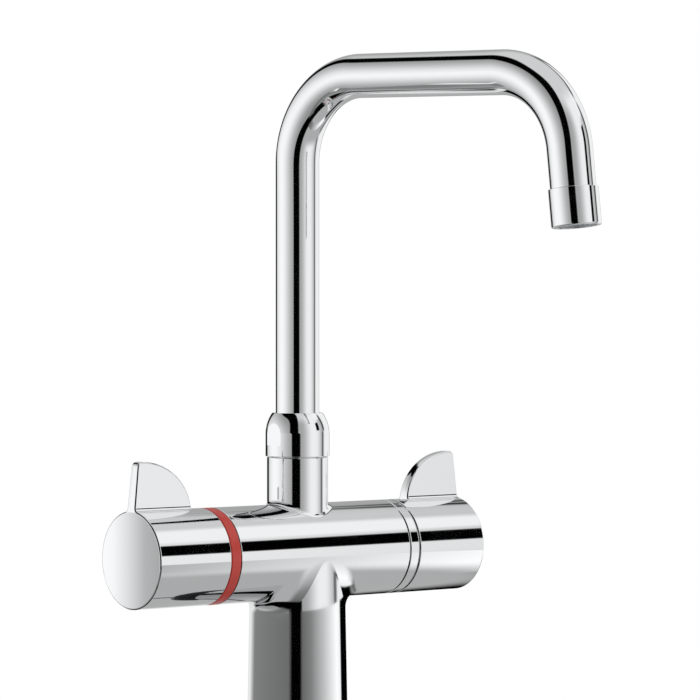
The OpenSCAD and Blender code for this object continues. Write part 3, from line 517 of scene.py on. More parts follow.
class Lever:
    """Surfaces of a handle's lever: s runs inwards from the end face, z up from the axis."""

    def __init__(self, h):
        self.edge, self.crown, self.fillet = h.edge, h.crown, h.root_fillet
        self.half_root = h.root_t / 2
        self.slope = (h.root_t - h.tip_t) / 2 / (LEVER_TOP - BODY_R)
        self.flank_way = unit([1, self.slope])
        offset = self.half_root + self.slope * BODY_R + self.fillet / self.flank_way[0]
        a, b = 1 + self.slope ** 2, -2 * offset * self.slope
        c = offset ** 2 - (BODY_R + self.fillet) ** 2
        centre_z = (-b + math.sqrt(b * b - 4 * a * c)) / (2 * a)
        self.centre = np.array([offset - self.slope * centre_z, centre_z])
        self.toe = self.centre * BODY_R / (BODY_R + self.fillet)
        self.neck = self.centre - self.fillet * self.flank_way
        self.base_z = BODY_R - h.sink
        self.apex_s = h.lean + h.corner
        self.reach = h.lever_l - self.apex_s
        self.rise = LEVER_TOP - self.base_z
        self.outer, self.outer_n = self.outer_edge(h)

    def outer_edge(self, h):
        """Outline of the outer edge, from the toe up: a lean that ends in the rounded corner."""
        corner = np.array([self.apex_s, LEVER_TOP - h.corner])
        bend = (0, self.toe[1] + h.upright)
        way = corner - bend
        lean = math.atan2(way[1], way[0]) + math.asin(h.corner / np.linalg.norm(way))
        tangent = corner + h.corner * np.array([-math.sin(lean), math.cos(lean)])
        line, line_n = rounded([(0, self.toe[1]), (*bend, h.lean_blend), tuple(tangent)], 6)
        turns = np.linspace(math.atan2(math.cos(lean), -math.sin(lean)), math.pi / 2, 12)[1:]
        arc_n = np.stack([np.cos(turns), np.sin(turns)], axis=1)
        return (np.concatenate([line, corner + h.corner * arc_n]),
                np.concatenate([-np.abs(line_n) * [1, -1], arc_n]))

    def flank(self, z):
        """Half thickness at height z and the flank's normal there, in (y, z)."""
        if z >= self.neck[1]:
            return self.half_root - self.slope * (z - BODY_R), self.flank_way
        y = self.centre[0] - math.sqrt(max(self.fillet ** 2 - (z - self.centre[1]) ** 2, 0))
        return y, (self.centre - [y, z]) / self.fillet

    def crest(self, turn):
        """Point and normal in (s, z) on the quarter ellipse that runs down to the root."""
        point = (self.apex_s + self.reach * math.cos(turn), self.base_z + self.rise * math.sin(turn))
        return np.array(point), unit([math.cos(turn) / self.reach, math.sin(turn) / self.rise])

    def crest_turn(self, z):
        """Turn at which the quarter ellipse passes a height."""
        return math.asin((z - self.base_z) / self.rise)

    def outer_at(self, z):
        """Point and normal in (s, z) on the outer edge at a height."""
        point = np.array([np.interp(z, self.outer[:, 1], self.outer[:, 0]), z])
        normal = unit([np.interp(z, self.outer[:, 1], self.outer_n[:, k]) for k in (0, 1)])
        return point, normal

    def rim(self, point, cap_n):
        """The rounded edge at a point of the outline: points and normals from flank to cap."""
        y, flank_n = self.flank(point[1])
        share = np.clip((point[1] - self.toe[1]) / CROWN_RISE, 0, 1)
        n1, n2 = np.array([0, *flank_n]), unit([cap_n[0], self.crown * share ** 2, cap_n[1]])
        ball = np.array([point[0], y, point[1]]) - self.edge * (n1 + n2) / (1 + n1 @ n2)
        ways = between(n1, n2, 4)
        return ball + self.edge * ways, buffed(ways, (1, 1, 1))

    def row(self, point, cap_n):
        """One row over the lever's edge, from the flank to the middle of the cap."""
        points, normals = self.rim(point, cap_n)
        shares = np.linspace(1, 0, 5)[1:]
        middle = points[-1] * np.array([[1, k, 1] for k in shares])
        ridge = unit(normals[-1] * np.array([[1, min(1, 3 * k), 1] for k in shares]))
        return np.concatenate([points, middle]), np.concatenate([normals, ridge])

    def root_turn(self, column):
        """Turn at which a column of the inner edge runs into the handle's barrel."""
        over, under = self.crest_turn(self.neck[1]), self.crest_turn(self.toe[1])
        for _ in range(40):
            middle = (over + under) / 2
            p = self.row(*self.crest(middle))[0][column]
            if p[1] ** 2 + p[2] ** 2 > BODY_R ** 2:
                over = middle
            else:
                under = middle
        return (over + under) / 2

    def rows(self):
        """Rows over the edge: up past the fillet, on to the top, down the crest, and its root."""
        ways = between(unit(-self.centre), -self.flank_way, 8)
        heights = (self.centre + self.fillet * ways)[:, 1]
        foot = [self.row(*self.outer_at(z)) for z in heights]
        rising = [self.row(p, n) for p, n in zip(self.outer, self.outer_n) if p[1] > self.neck[1]]
        neck_turn, toe_turn = self.crest_turn(self.neck[1]), self.crest_turn(self.toe[1])
        falling = [self.row(*self.crest(t)) for t in np.linspace(math.pi / 2, neck_turn, 44)[1:]]
        columns = range(len(foot[0][0]))
        # Each column of the root ends where it runs into the barrel, so its steps are shared out
        ends = [toe_turn] + [self.root_turn(c) for c in columns[1:]]
        root = []
        for z in heights[-2::-1]:
            share = (self.crest_turn(z) - neck_turn) / (toe_turn - neck_turn)
            picked = [self.row(*self.crest(neck_turn + (ends[c] - neck_turn) * share)) for c in columns]
            root.append(tuple(np.array([picked[c][k][c] for c in columns]) for k in (0, 1)))
        root[-1][0][0, 1:] = BODY_R * unit(self.toe)
        return heights, foot, rising, falling, root


def build_handle(h, side, outer_x, start_x):
    """A lever handle, built in half with s measured inwards from its end face, then placed."""
    lever, skin = Lever(h), Skin()
    grub_s = outer_x - (NOSE_END + HUB_START + SPINDLE_END) / 2
    heights, foot, rising, falling, root = lever.rows()
    rows = foot + rising + falling + root
    skin.grid(np.array([p for p, _ in rows]), np.array([n for _, n in rows]))
    toe_s = add_flank(skin, lever, h, heights, (foot, rising, falling, root), grub_s)
    cap_row, root_row = foot[0][0][4:], root[-1][0]
    turns = add_barrel(skin, lever, h, cap_row, root_row, toe_s, grub_s)
    hub_s = HANDLE_L - (NOSE_END + HUB_START - start_x)
    bore_s = HANDLE_L - (SPINDLE_END + BORE_ROOM - start_x)
    add_inside(skin, h, turns, grub_s, hub_s, bore_s)
    skin.mirror(1)
    flip = np.array([-side, 1, 1])
    skin.points = [np.maximum(p, [0, -np.inf, -np.inf]) * flip + [side * outer_x, 0, 0]
                   for p in skin.points]
    skin.normals = [n * flip for n in skin.normals]
    return skin


def add_flank(skin, lever, h, heights, rows, grub_s):
    """The lever's side and its root fillet. Gives s where the fillet ends on the inner side.

    The fillet's columns stand where the barrel below has them, either side of the grub screw.
    """
    foot, rising, falling, root = rows
    margin = h.grub_d / 2 + GRUB_MARGIN
    near = np.array([p[0] for p, _ in foot])
    far = np.array([p[0] for p, _ in ([falling[-1]] + root)[::-1]])
    level = near * [0, 1, 1]
    columns = [near, level + [grub_s - margin, 0, 0], level + [grub_s + margin, 0, 0], far]
    normals = np.array([[0, *lever.flank(z)[1]] for z in heights])
    skin.grid(np.stack(columns, axis=1), np.repeat(normals[:, None], 4, axis=1))
    outline = [foot[-1][0][0]] + [p[0] for p, _ in rising + falling]
    outline += [columns[2][-1], columns[1][-1]]
    places = {(p[0], p[2]): p for p in outline}
    skin.fill([[(p[0], p[2]) for p in outline]],
              lambda u, v: (places[(u, v)], np.array([0, *lever.flank_way])))
    return far[0, 0]


def add_barrel(skin, lever, h, cap_row, root_row, toe_s, grub_s):
    """The handle's barrel, its front edge and its end face. Gives the turns of the whole half."""
    edge, inner_s = h.edge, HANDLE_L - h.edge
    # The strip of barrel behind the lever, under its cap
    strip_turns = np.arctan2(root_row[:, 1], root_row[:, 2])
    strip_out = np.stack([0 * strip_turns, np.sin(strip_turns), np.cos(strip_turns)], axis=1)
    strip = np.stack([root_row, BODY_R * strip_out + [inner_s, 0, 0]], axis=1)
    skin.grid(strip, np.repeat(strip_out[:, None], 2, axis=1))

    turns = np.linspace(math.atan2(*lever.toe), math.pi, 61)
    half_barrel(skin, BODY_R, (edge, inner_s), turns, grub_s, h.grub_d / 2, 1, [toe_s])
    out = np.stack([0 * turns, np.sin(turns), np.cos(turns)], axis=1)
    edge_ways = between(out, np.tile(-X, (len(turns), 1)), 4)
    ball = out * (BODY_R - edge) + [edge, 0, 0]
    skin.grid(ball[:, None] + edge * edge_ways, buffed(edge_ways, FACE_LEAN))
    face_rim = np.concatenate([cap_row[::-1], (ball - [edge, 0, 0])[1:]])
    skin.grid(face_rim * np.linspace(0, 1, 7)[:, None, None], -X)
    return np.concatenate([strip_turns[::-1], turns[1:]])


def add_inside(skin, h, turns, grub_s, hub_s, bore_s):
    """The handle's inner edge, its cavity, the hub with its bore, and the grub screw's hole."""
    hub_r, hole_r, cavity_r, end = h.hub_d / 2, h.grub_d / 2, BODY_R - h.wall, HANDLE_L
    rim = [(BODY_R, end - h.edge), (BODY_R, end, h.edge * EDGE_SHARE), (cavity_r, end)]
    for outline, buff in ((rim, True),
                          ([(cavity_r, h.end_t), (hub_r, h.end_t)], False),
                          ([(hub_r, hub_s), (SPLINE_R, hub_s)], False),
                          ([(SPLINE_R, bore_s), (0, bore_s)], False)):
        turned(skin, rounded(outline, buff=buff), turns, axis=X, start=Z, side=Y)
    for wall_r, span, sign in ((cavity_r, (h.end_t, end), -1), (hub_r, (h.end_t, hub_s), 1),
                               (SPLINE_R, (bore_s, hub_s), -1)):
        half_barrel(skin, wall_r, span, turns, grub_s, hole_r, sign)
    for outer_r, inner_r in ((BODY_R, cavity_r), (hub_r, SPLINE_R)):
        drill_wall(skin, outer_r, inner_r, grub_s, hole_r)


def hole_edge(barrel_r, at, hole_r, steps=12):
    """Half of the edge that a hole drilled from below leaves in a barrel, y positive."""
    a = np.linspace(0, math.pi, steps + 1)
    y = hole_r * np.sin(a)
    return np.stack([at + hole_r * np.cos(a), y, -np.sqrt(barrel_r ** 2 - y ** 2)], axis=1)


def half_barrel(skin, r, span, turns, at, hole_r, sign, seams=()):
    """Half of a barrel round X, y positive, pierced from below by a hole at s = at.

    sign is -1 where the barrel is seen from inside. seams are places beyond the hole where the
    barrel needs corners of its own.
    """
    pierced = span[0] < at < span[1]
    margin = min(hole_r + GRUB_MARGIN, at - span[0] - SLIVER, span[1] - at - SLIVER) if pierced else 0
    clear = math.pi - math.asin(min(0.99, (hole_r + GRUB_CLEAR) / r))
    cut = int(np.searchsorted(turns, clear)) - 1 if pierced else len(turns) - 1
    stops = [span[0], at - margin, at + margin, *seams, span[1]] if pierced else list(span)

    def wall(some_turns, some_stops):
        t, s = np.meshgrid(some_turns, some_stops, indexing="ij")
        points = np.stack([s, r * np.sin(t), r * np.cos(t)], axis=2)
        skin.grid(points, sign * points * [0, 1, 1] / r)

    wall(turns[:cut + 1], stops)
    if not pierced:
        return
    wall(turns[cut:], stops[:2])
    wall(turns[cut:], stops[2:])
    edge = hole_edge(r, at, hole_r)
    rim = [(s, math.atan2(y, -z) * r) for s, y, z in edge]
    low_side = [(at - margin, (math.pi - t) * r) for t in turns[cut:][::-1]]
    high_side = [(at + margin, (math.pi - t) * r) for t in turns[cut:]]
    skin.fill([low_side + high_side + rim],
              lambda u, v: ((u, r * math.sin(v / r), -r * math.cos(v / r)),
                            (0, sign * math.sin(v / r), -sign * math.cos(v / r))))


def drill_wall(skin, outer_r, inner_r, at, hole_r):
    """Half of the wall of a hole drilled from below, y positive."""
    edges = [hole_edge(radius, at, hole_r) for radius in (outer_r, inner_r)]
    inward = [at, 0, 0] - edges[0] * [1, 1, 0]
    skin.grid(np.stack(edges, axis=1), np.repeat(unit(inward)[:, None], 2, axis=1))


# Spout

FLAT_STEPS = 8


def quarter_turns(r, mill):
    """Angles of a quarter ring: steps over the milled flat, then the rest of the round."""
    edge_turn = math.acos(min(1, mill / r))
    return np.concatenate([np.linspace(0, edge_turn, FLAT_STEPS + 1),
                           np.linspace(edge_turn, math.pi / 2, 21)[1:]])


def build_nut(s):
    """The spout nut: a turned outline that closes in on the tube, with two milled flats."""
    nut_r = (high("spout_nut")[1] - low("spout_nut")[1]) / 2
    height = NUT_TOP - NUT_FOOT
    bore_r, thread_r = s.tube_d / 2 + MOUTH_GAP, NECK_THREAD_R + RUNNING_GAP
    foot_r, mill = nut_r - 2 * s.nut_edge, s.nut_flats / 2
    inset, rise = nut_r - s.nut_top_d / 2, height - s.nut_wall_h
    arc_r = (inset ** 2 + rise ** 2) / (2 * inset)
    sweep = np.linspace(0, math.asin(rise / arc_r), 25)
    arc = np.stack([nut_r - arc_r * (1 - np.cos(sweep)), s.nut_wall_h + arc_r * np.sin(sweep)], axis=1)
    arc_n = np.stack([np.cos(sweep), np.sin(sweep)], axis=1)

    skin = Skin()
    foot_turns = quarter_turns(nut_r, mill)
    turned(skin, rounded([(foot_r, 0), (nut_r, 0, s.nut_edge), (nut_r, s.flat_step)]), foot_turns)

    # The wall and the closing-in top, cut back to the flat where they stand out past it
    wall = np.concatenate([[[nut_r, s.flat_step]], arc])
    wall_n = np.concatenate([arc_n[:1], arc_n])
    fine = np.linspace(0, len(wall) - 1, 6 * len(wall))
    wall, wall_n = (np.stack([np.interp(fine, range(len(v)), v[:, k]) for k in (0, 1)], axis=1)
                    for v in (wall, wall_n))
    wall_n = unit(wall_n)
    turns = np.array([quarter_turns(r, mill) for r in wall[:, 0]])
    way = np.stack([np.cos(turns), np.sin(turns), 0 * turns], axis=2)
    points = way * wall[:, None, :1] + Z * wall[:, None, 1:]
    normals = way * wall_n[:, None, :1] + Z * wall_n[:, None, 1:]
    over_flat = points[:, :FLAT_STEPS + 1]
    flat = np.minimum(over_flat, [mill, np.inf, np.inf])
    skin.grid(flat, X)
    skin.grid(points[:, FLAT_STEPS:], normals[:, FLAT_STEPS:])
    skin.grid(np.stack([over_flat[0], flat[0]]), Z)

    lip, lip_n = rounded([(s.nut_top_d / 2, height), (bore_r, height, EDGE_BREAK), (bore_r, NUT_CEILING),
                          (thread_r, NUT_CEILING), (thread_r, 0)])
    turned(skin, (np.concatenate([arc[-1:], lip[1:]]), lip_n), turns[-1])
    rims = [np.stack([r * np.cos(t), r * np.sin(t), 0 * t], axis=1)
            for r, t in ((thread_r, turns[-1]), (foot_r, foot_turns))]
    skin.grid(np.stack(rims), -Z)
    skin.mirror(0)
    skin.mirror(1)
    return skin.mesh("spout_nut_shell", (0, 0, NUT_FOOT))


def spout_corners(s):
    """Corners of the spout's path in its own plane, out from the riser and up from the axis.

    Also gives where the leg starts and its way down.
    """
    fall, lean, r = s.run_fall, s.leg_lean, s.bend_r
    along = np.array([math.cos(fall), -math.sin(fall)])
    down = np.array([math.sin(lean), -math.cos(lean)])
    run_start = r * np.array([1 + math.sin(fall), math.cos(fall)]) + [0, s.spout_h - r]
    run_end = run_start + s.run_l * along
    leg_start = run_end + r * np.array([math.cos(lean) - math.sin(fall), math.sin(lean) - math.cos(fall)])
    first = run_start - along * run_start[0] / along[0]
    reach = np.linalg.solve(np.stack([along, -down], axis=1), leg_start - run_end)
    second = run_end + along * reach[0]
    foot = np.array([0, low("slip_ring")[2] - AXIS_Z])
    return [foot, first, second, leg_start + s.leg_l * down], leg_start, down


def spout_place(s, point):
    """A point of the spout's plane as a place in the frame, in millimetres."""
    turn = s.swivel - math.pi / 2
    return np.array([point[0] * math.cos(turn), point[0] * math.sin(turn), AXIS_Z + point[1]])


BEND_STEPS = 96
TUBE_SIDES = 72
TUBE_SPACING = 1.6


def sweep_tree():
    """Geometry nodes that bend a straight-sided path to a radius and draw a tube along it."""
    tree = bpy.data.node_groups.new("bent_tube", "GeometryNodeTree")
    face = tree.interface
    face.new_socket("Geometry", in_out="INPUT", socket_type="NodeSocketGeometry")
    for name in ("Bend radius", "Tube radius", "Bore radius", "Spacing"):
        face.new_socket(name, in_out="INPUT", socket_type="NodeSocketFloat")
    face.new_socket("Finish", in_out="INPUT", socket_type="NodeSocketMaterial")
    face.new_socket("Geometry", in_out="OUTPUT", socket_type="NodeSocketGeometry")
    given = add_node(tree, "NodeGroupInput").outputs
    path = add_node(tree, "GeometryNodeMeshToCurve", {"Mesh": given["Geometry"]})
    bent = add_node(tree, "GeometryNodeFilletCurve",
                    {"Curve": path.outputs[0], "Radius": given["Bend radius"], "Count": BEND_STEPS},
                    mode="POLY")
    even = add_node(tree, "GeometryNodeResampleCurve",
                    {"Curve": bent.outputs[0], "Length": given["Spacing"]}, mode="LENGTH")
    walls = []
    for size in ("Tube radius", "Bore radius"):
        section = add_node(tree, "GeometryNodeCurvePrimitiveCircle",
                           {"Resolution": TUBE_SIDES, "Radius": given[size]})
        walls.append(add_node(tree, "GeometryNodeCurveToMesh",
                              {"Curve": even.outputs[0], "Profile Curve": section.outputs[0]}))
    inside = add_node(tree, "GeometryNodeFlipFaces", {"Mesh": walls[1].outputs[0]})
    both = add_node(tree, "GeometryNodeJoinGeometry", {"Geometry": walls[0].outputs[0]})
    tree.links.new(inside.outputs[0], both.inputs[0])
    smooth = add_node(tree, "GeometryNodeSetShadeSmooth", {"Geometry": both.outputs[0]})
    real = add_node(tree, "GeometryNodeRealizeInstances", {"Geometry": smooth.outputs[0]})
    dressed = add_node(tree, "GeometryNodeSetMaterial",
                       {"Geometry": real.outputs[0], "Material": given["Finish"]})
    add_node(tree, "NodeGroupOutput", {"Geometry": dressed.outputs[0]})
    return tree


def baked(source, tree, values):
    """Runs a geometry node tree on an object and gives the plain mesh that it makes."""
    modifier = source.modifiers.new(tree.name, "NODES")
    modifier.node_group = tree
    for item in tree.interface.items_tree:
        if item.in_out == "INPUT" and item.name in values:
            modifier[item.identifier] = values[item.name]
    shown = source.evaluated_get(bpy.context.evaluated_depsgraph_get())
    mesh = bpy.data.meshes.new_from_object(shown)
    source.modifiers.clear()
    bpy.data.objects.remove(source)
    return mesh


def build_tube(s):
    """The bent spout tube, open at both ends, with its wall."""
    corners, _, _ = spout_corners(s)
    path = bpy.data.meshes.new("spout_path")
    path.from_pydata([spout_place(s, c) * MM for c in corners], [(0, 1), (1, 2), (2, 3)], [])
    source = placed("spout_path", path)
    mesh = baked(source, sweep_tree(), {
        "Bend radius": s.bend_r * MM, "Tube radius": s.tube_d / 2 * MM,
        "Bore radius": (s.tube_d / 2 - s.tube_wall) * MM, "Spacing": TUBE_SPACING * MM,
        "Finish": bpy.data.materials[FINISHES["chrome"]]})
    # The outer and the inner wall are closed with a flat rim at each end
    work = bmesh.new()
    work.from_mesh(mesh)
    rims = [edge for edge in work.edges if edge.is_boundary]
    ends = sorted(rims, key=lambda edge: edge.verts[0].co.x ** 2 + edge.verts[0].co.y ** 2)
    half = len(ends) // 2
    for some in (ends[:half], ends[half:]):
        bmesh.ops.bridge_loops(work, edges=some)
    bmesh.ops.recalc_face_normals(work, faces=work.faces)
    work.to_mesh(mesh)
    work.free()
    return mesh


def build_aerator(s):
    """The aerator housing on the leg, with a crisp upper edge and a softer lower one."""
    _, leg_start, down = spout_corners(s)
    start = spout_place(s, leg_start + (s.leg_l - s.aerator_lap) * down)
    axis = unit(spout_place(s, leg_start + down) - spout_place(s, leg_start))
    flat = np.array([math.cos(s.swivel), math.sin(s.swivel), 0])
    outer_r, bore_r, lip_r = s.aerator_d / 2, s.tube_d / 2 + SEAT_GAP, s.aerator_lip_d / 2
    foot, lip = s.aerator_l, s.aerator_l - s.aerator_lip
    skin = Skin()
    turned(skin, rounded([(bore_r, 0), (outer_r, 0, s.aerator_rim), (outer_r, foot, s.aerator_edge),
                          (lip_r, foot, EDGE_BREAK), (lip_r, lip), (bore_r, lip), (bore_r, 0)]),
           circle(96), origin=start, axis=axis, start=flat, side=np.cross(axis, flat))
    return skin.mesh("aerator_shell")


# Finishes

FINISHES = {
    "chrome": "polished_chrome_plate",
    "red_plastic": "moulded_red_acetal",
    "rubber": "nitrile_rubber",
    "brass": "turned_brass",
    "steel": "stainless_steel",
    "white_plastic": "moulded_white_acetal",
    "grey_plastic": "moulded_grey_acetal",
    "ceramic": "lapped_alumina",
}
# Values between which nearly all of a noise pattern lies
NOISE_SPAN = (0.3, 0.7)


def add_node(tree, kind, inputs=(), **settings):
    """Adds a node with its settings, and links or sets its inputs, given by name or in order."""
    node = tree.nodes.new(kind)
    for name, value in settings.items():
        setattr(node, name, value)
    for name, value in inputs.items() if isinstance(inputs, dict) else enumerate(inputs):
        if isinstance(value, bpy.types.NodeSocket):
            tree.links.new(value, node.inputs[name])
        else:
            node.inputs[name].default_value = value
    return node


def new_material(name):
    """An empty material with its node tree and its position in metres."""
    material = bpy.data.materials.new(name)
    material.use_nodes = True
    tree = material.node_tree
    tree.nodes.clear()
    return material, tree, add_node(tree, "ShaderNodeTexCoord").outputs["Object"]


def plated_finish(slot, tint, rough, haze_mm):
    """A mirror whose roughness drifts over patches of haze."""
    _, tree, place = new_material(FINISHES[slot])
    haze = add_node(tree, "ShaderNodeTexNoise", {"Vector": place, "Scale": 1 / (haze_mm * MM)})
    gloss = add_node(tree, "ShaderNodeMapRange", (haze.outputs["Fac"], *NOISE_SPAN, *rough))
    shader = add_node(tree, "ShaderNodeBsdfPrincipled",
                      {"Base Color": tint, "Metallic": 1.0, "Roughness": gloss.outputs[0]})
    add_node(tree, "ShaderNodeOutputMaterial", {"Surface": shader.outputs[0]})


def worked_finish(slot, tint, rough, marks_mm, depth_mm, shade, patch_mm, bump, metallic=0.0):
    """A finish with fine marks, and a tone that drifts to a darker shade over larger patches."""
    _, tree, place = new_material(FINISHES[slot])
    patches, marks = (add_node(tree, "ShaderNodeTexNoise", {"Vector": place, "Scale": 1 / (size * MM)})
                      for size in (patch_mm, marks_mm))
    drift = add_node(tree, "ShaderNodeMapRange", (patches.outputs["Fac"], *NOISE_SPAN, 0, 1))
    darker = [c * shade for c in tint[:3]] + [1]
    tone = add_node(tree, "ShaderNodeMix", {"Factor": drift.outputs[0], 6: tint, 7: darker},
                    data_type="RGBA")
    gloss = add_node(tree, "ShaderNodeMapRange", (marks.outputs["Fac"], *NOISE_SPAN, *rough))
    relief = add_node(tree, "ShaderNodeBump", {"Height": marks.outputs["Fac"], "Strength": bump,
                                               "Distance": depth_mm * MM})
    shader = add_node(tree, "ShaderNodeBsdfPrincipled",
                      {"Base Color": tone.outputs[2], "Metallic": metallic,
                       "Roughness": gloss.outputs[0], "Normal": relief.outputs[0]})
    add_node(tree, "ShaderNodeOutputMaterial", {"Surface": shader.outputs[0]})


# What smooth finishes and bare metals have in common
SMOOTH = dict(shade=0.94, patch_mm=9, bump=0.3)
METAL = dict(shade=0.86, patch_mm=6, bump=0.2, metallic=1.0)


def make_finishes(colours):
    """Every finish of the mixer, in the colours of the property group."""
    # Bright nickel and chrome plate on buffed brass: a mirror with a faint haze where it is wiped
    plated_finish("chrome", colours.chrome, (0.025, 0.06), 14)
    # Injection-moulded acetal, coloured through: an even red with a fine spark-eroded skin
    worked_finish("red_plastic", colours.red, (0.28, 0.37), 0.5, 0.02, **SMOOTH)
    # Acetal moulded in its natural white: an even, slightly waxy sheen
    worked_finish("white_plastic", colours.white, (0.36, 0.45), 0.5, 0.02, **SMOOTH)
    # Acetal moulded in grey: a little duller than the white
    worked_finish("grey_plastic", colours.grey, (0.38, 0.47), 0.5, 0.02, **SMOOTH)
    # Compression-moulded nitrile rubber: near black and dull
    worked_finish("rubber", colours.rubber, (0.58, 0.67), 0.4, 0.03, **SMOOTH)
    # Ground and lapped alumina: off-white and smooth, with a low sheen
    worked_finish("ceramic", colours.ceramic, (0.16, 0.25), 0.3, 0.005, **SMOOTH)
    # Brass turned from bar: a warm yellow, fine tool marks and a little tarnish
    worked_finish("brass", colours.brass, (0.2, 0.34), 0.4, 0.02, **METAL)
    # Stainless steel, drawn and turned: a plain grey with fine marks
    worked_finish("steel", colours.steel, (0.24, 0.38), 0.4, 0.02, **METAL)


# Camera and studio

CAMERA_AZIMUTH = math.radians(40.05)
CAMERA_PITCH = math.radians(-0.82)
CAMERA_DISTANCE = 1861.8
CAMERA_RISE = 128.5
CAMERA_SHIFT = 26.6
FOCAL_PIXELS = 3682.6
IMAGE_PIXELS = 700
SENSOR_MM = 36


def make_camera():
    """Camera at the photograph's viewpoint."""
    ahead = np.array([math.sin(CAMERA_AZIMUTH), math.cos(CAMERA_AZIMUTH), 0])
    right = np.array([math.cos(CAMERA_AZIMUTH), -math.sin(CAMERA_AZIMUTH), 0])
    place = -CAMERA_DISTANCE * ahead + CAMERA_SHIFT * right + [0, 0, AXIS_Z + CAMERA_RISE]
    data = bpy.data.cameras.new("photo_camera")
    data.sensor_width = SENSOR_MM
    data.lens = SENSOR_MM * FOCAL_PIXELS / IMAGE_PIXELS
    data.clip_start, data.clip_end = 0.05, 50
    camera = placed("photo_camera", data)
    camera.location = place * MM
    camera.rotation_euler = (math.pi / 2 + CAMERA_PITCH, 0, -CAMERA_AZIMUTH)
    bpy.context.scene.camera = camera


# The studio as the chrome sees it. Azimuth runs from the camera's back towards the image right and
# elevation up from the horizon, both in degrees. Levels are sRGB values from 0 to 1, and the light
# is raised by what the chrome keeps back.
SRGB_POWER = 2.2
CHROME_RETURN = 0.86
# The walls: their level at the foot, then spans of elevation with the level at their upper end
WALL_FOOT = 0.66
WALLS = ((-34, -14, 0.63), (28, 56, 0.8))
# Panels on the walls: azimuths, elevations, softness of each, and level
PANELS = (
    ((36, 92), (-26, 56), (22, 8), 0.93),
    ((112, 168), (-28, 38), (4, 3), 0.93),
    ((78, 114), (31, 50), (8, 3), 0.94),
    ((112, 160), (-37, -31), (6, 3), 0.45),
    ((101, 107), (-28, 4), (5, 3), 0.3),
    ((108, 115), (6, 36), (5, 3), 0.1),
    ((118, 162), (38.5, 42.5), (5, 2.5), 0.02),
    ((163, 169), (-20, 38), (3, 3), 0.25),
    ((76, 89), (9, 26.5), (2, 1.5), 0.01),
)
# A window in a black frame on the left: middle, half width and height, squareness left and right
FRAME = ((-81, -8), (85, 75), (2.2, 5.6))
WINDOW = ((-85, -8), (59, 55), (3.2, 4))
FRAME_LEVEL = 0.012
FRAME_SOFTNESS = 0.035
# Under these elevations the window and its frame lean towards the right, by so many degrees
LEAN_SPAN, LEAN = (6, 1), 7
# The light behind the window falls off from its middle
GLOW = ((-100, 0), (92, 56), (2, 2))
GLOW_SPAN, GLOW_LEVELS = (0.05, 1.0), (0.97, 0.56)


def chrome_light(level):
    """Strength of a light that the chrome shows at an sRGB level."""
    return level ** SRGB_POWER / CHROME_RETURN


def camera_turn(tree, way):
    """Turn of a direction from the camera's back towards the image right, and its upward part."""
    turned_way = add_node(tree, "ShaderNodeVectorRotate", {"Vector": way, "Angle": CAMERA_AZIMUTH},
                          rotation_type="Z_AXIS")
    x, y, z = add_node(tree, "ShaderNodeSeparateXYZ", (turned_way.outputs[0],)).outputs
    back = add_node(tree, "ShaderNodeMath", (y, -1.0), operation="MULTIPLY").outputs[0]
    return add_node(tree, "ShaderNodeMath", (x, back), operation="ARCTAN2").outputs[0], z


def panel_share(tree, angles, spans, softness):
    """How far a direction lies inside a panel: 1 within, falling to 0 over its soft edges."""
    share = 1.0
    for angle, (start, end), soft in zip(angles, spans, softness):
        for edge, before, after in ((start, 0, 1), (end, 1, 0)):
            step = add_node(tree, "ShaderNodeMapRange", (angle, edge - soft, edge + soft, before, after),
                            interpolation_type="SMOOTHSTEP").outputs[0]
            share = add_node(tree, "ShaderNodeMath", (share, step), operation="MULTIPLY").outputs[0]
    return share


def outline_reach(tree, angles, middle, halves, squares):
    """How far out a direction lies in a rounded rectangle: 0 in its middle and 1 on its edge."""
    right = add_node(tree, "ShaderNodeMath", (angles[0], middle[0]), operation="GREATER_THAN")
    square = add_node(tree, "ShaderNodeMix", {"Factor": right.outputs[0], "A": squares[0],
                                              "B": squares[1]}).outputs[0]
    total = 0.0
    for angle, centre, half in zip(angles, middle, halves):
        for operation, value in (("SUBTRACT", centre), ("DIVIDE", half), ("ABSOLUTE", 0),
                                 ("POWER", square)):
            angle = add_node(tree, "ShaderNodeMath", (angle, value), operation=operation).outputs[0]
        total = add_node(tree, "ShaderNodeMath", (total, angle), operation="ADD").outputs[0]
    root = add_node(tree, "ShaderNodeMath", (1.0, square), operation="DIVIDE").outputs[0]
    return add_node(tree, "ShaderNodeMath", (total, root), operation="POWER").outputs[0]


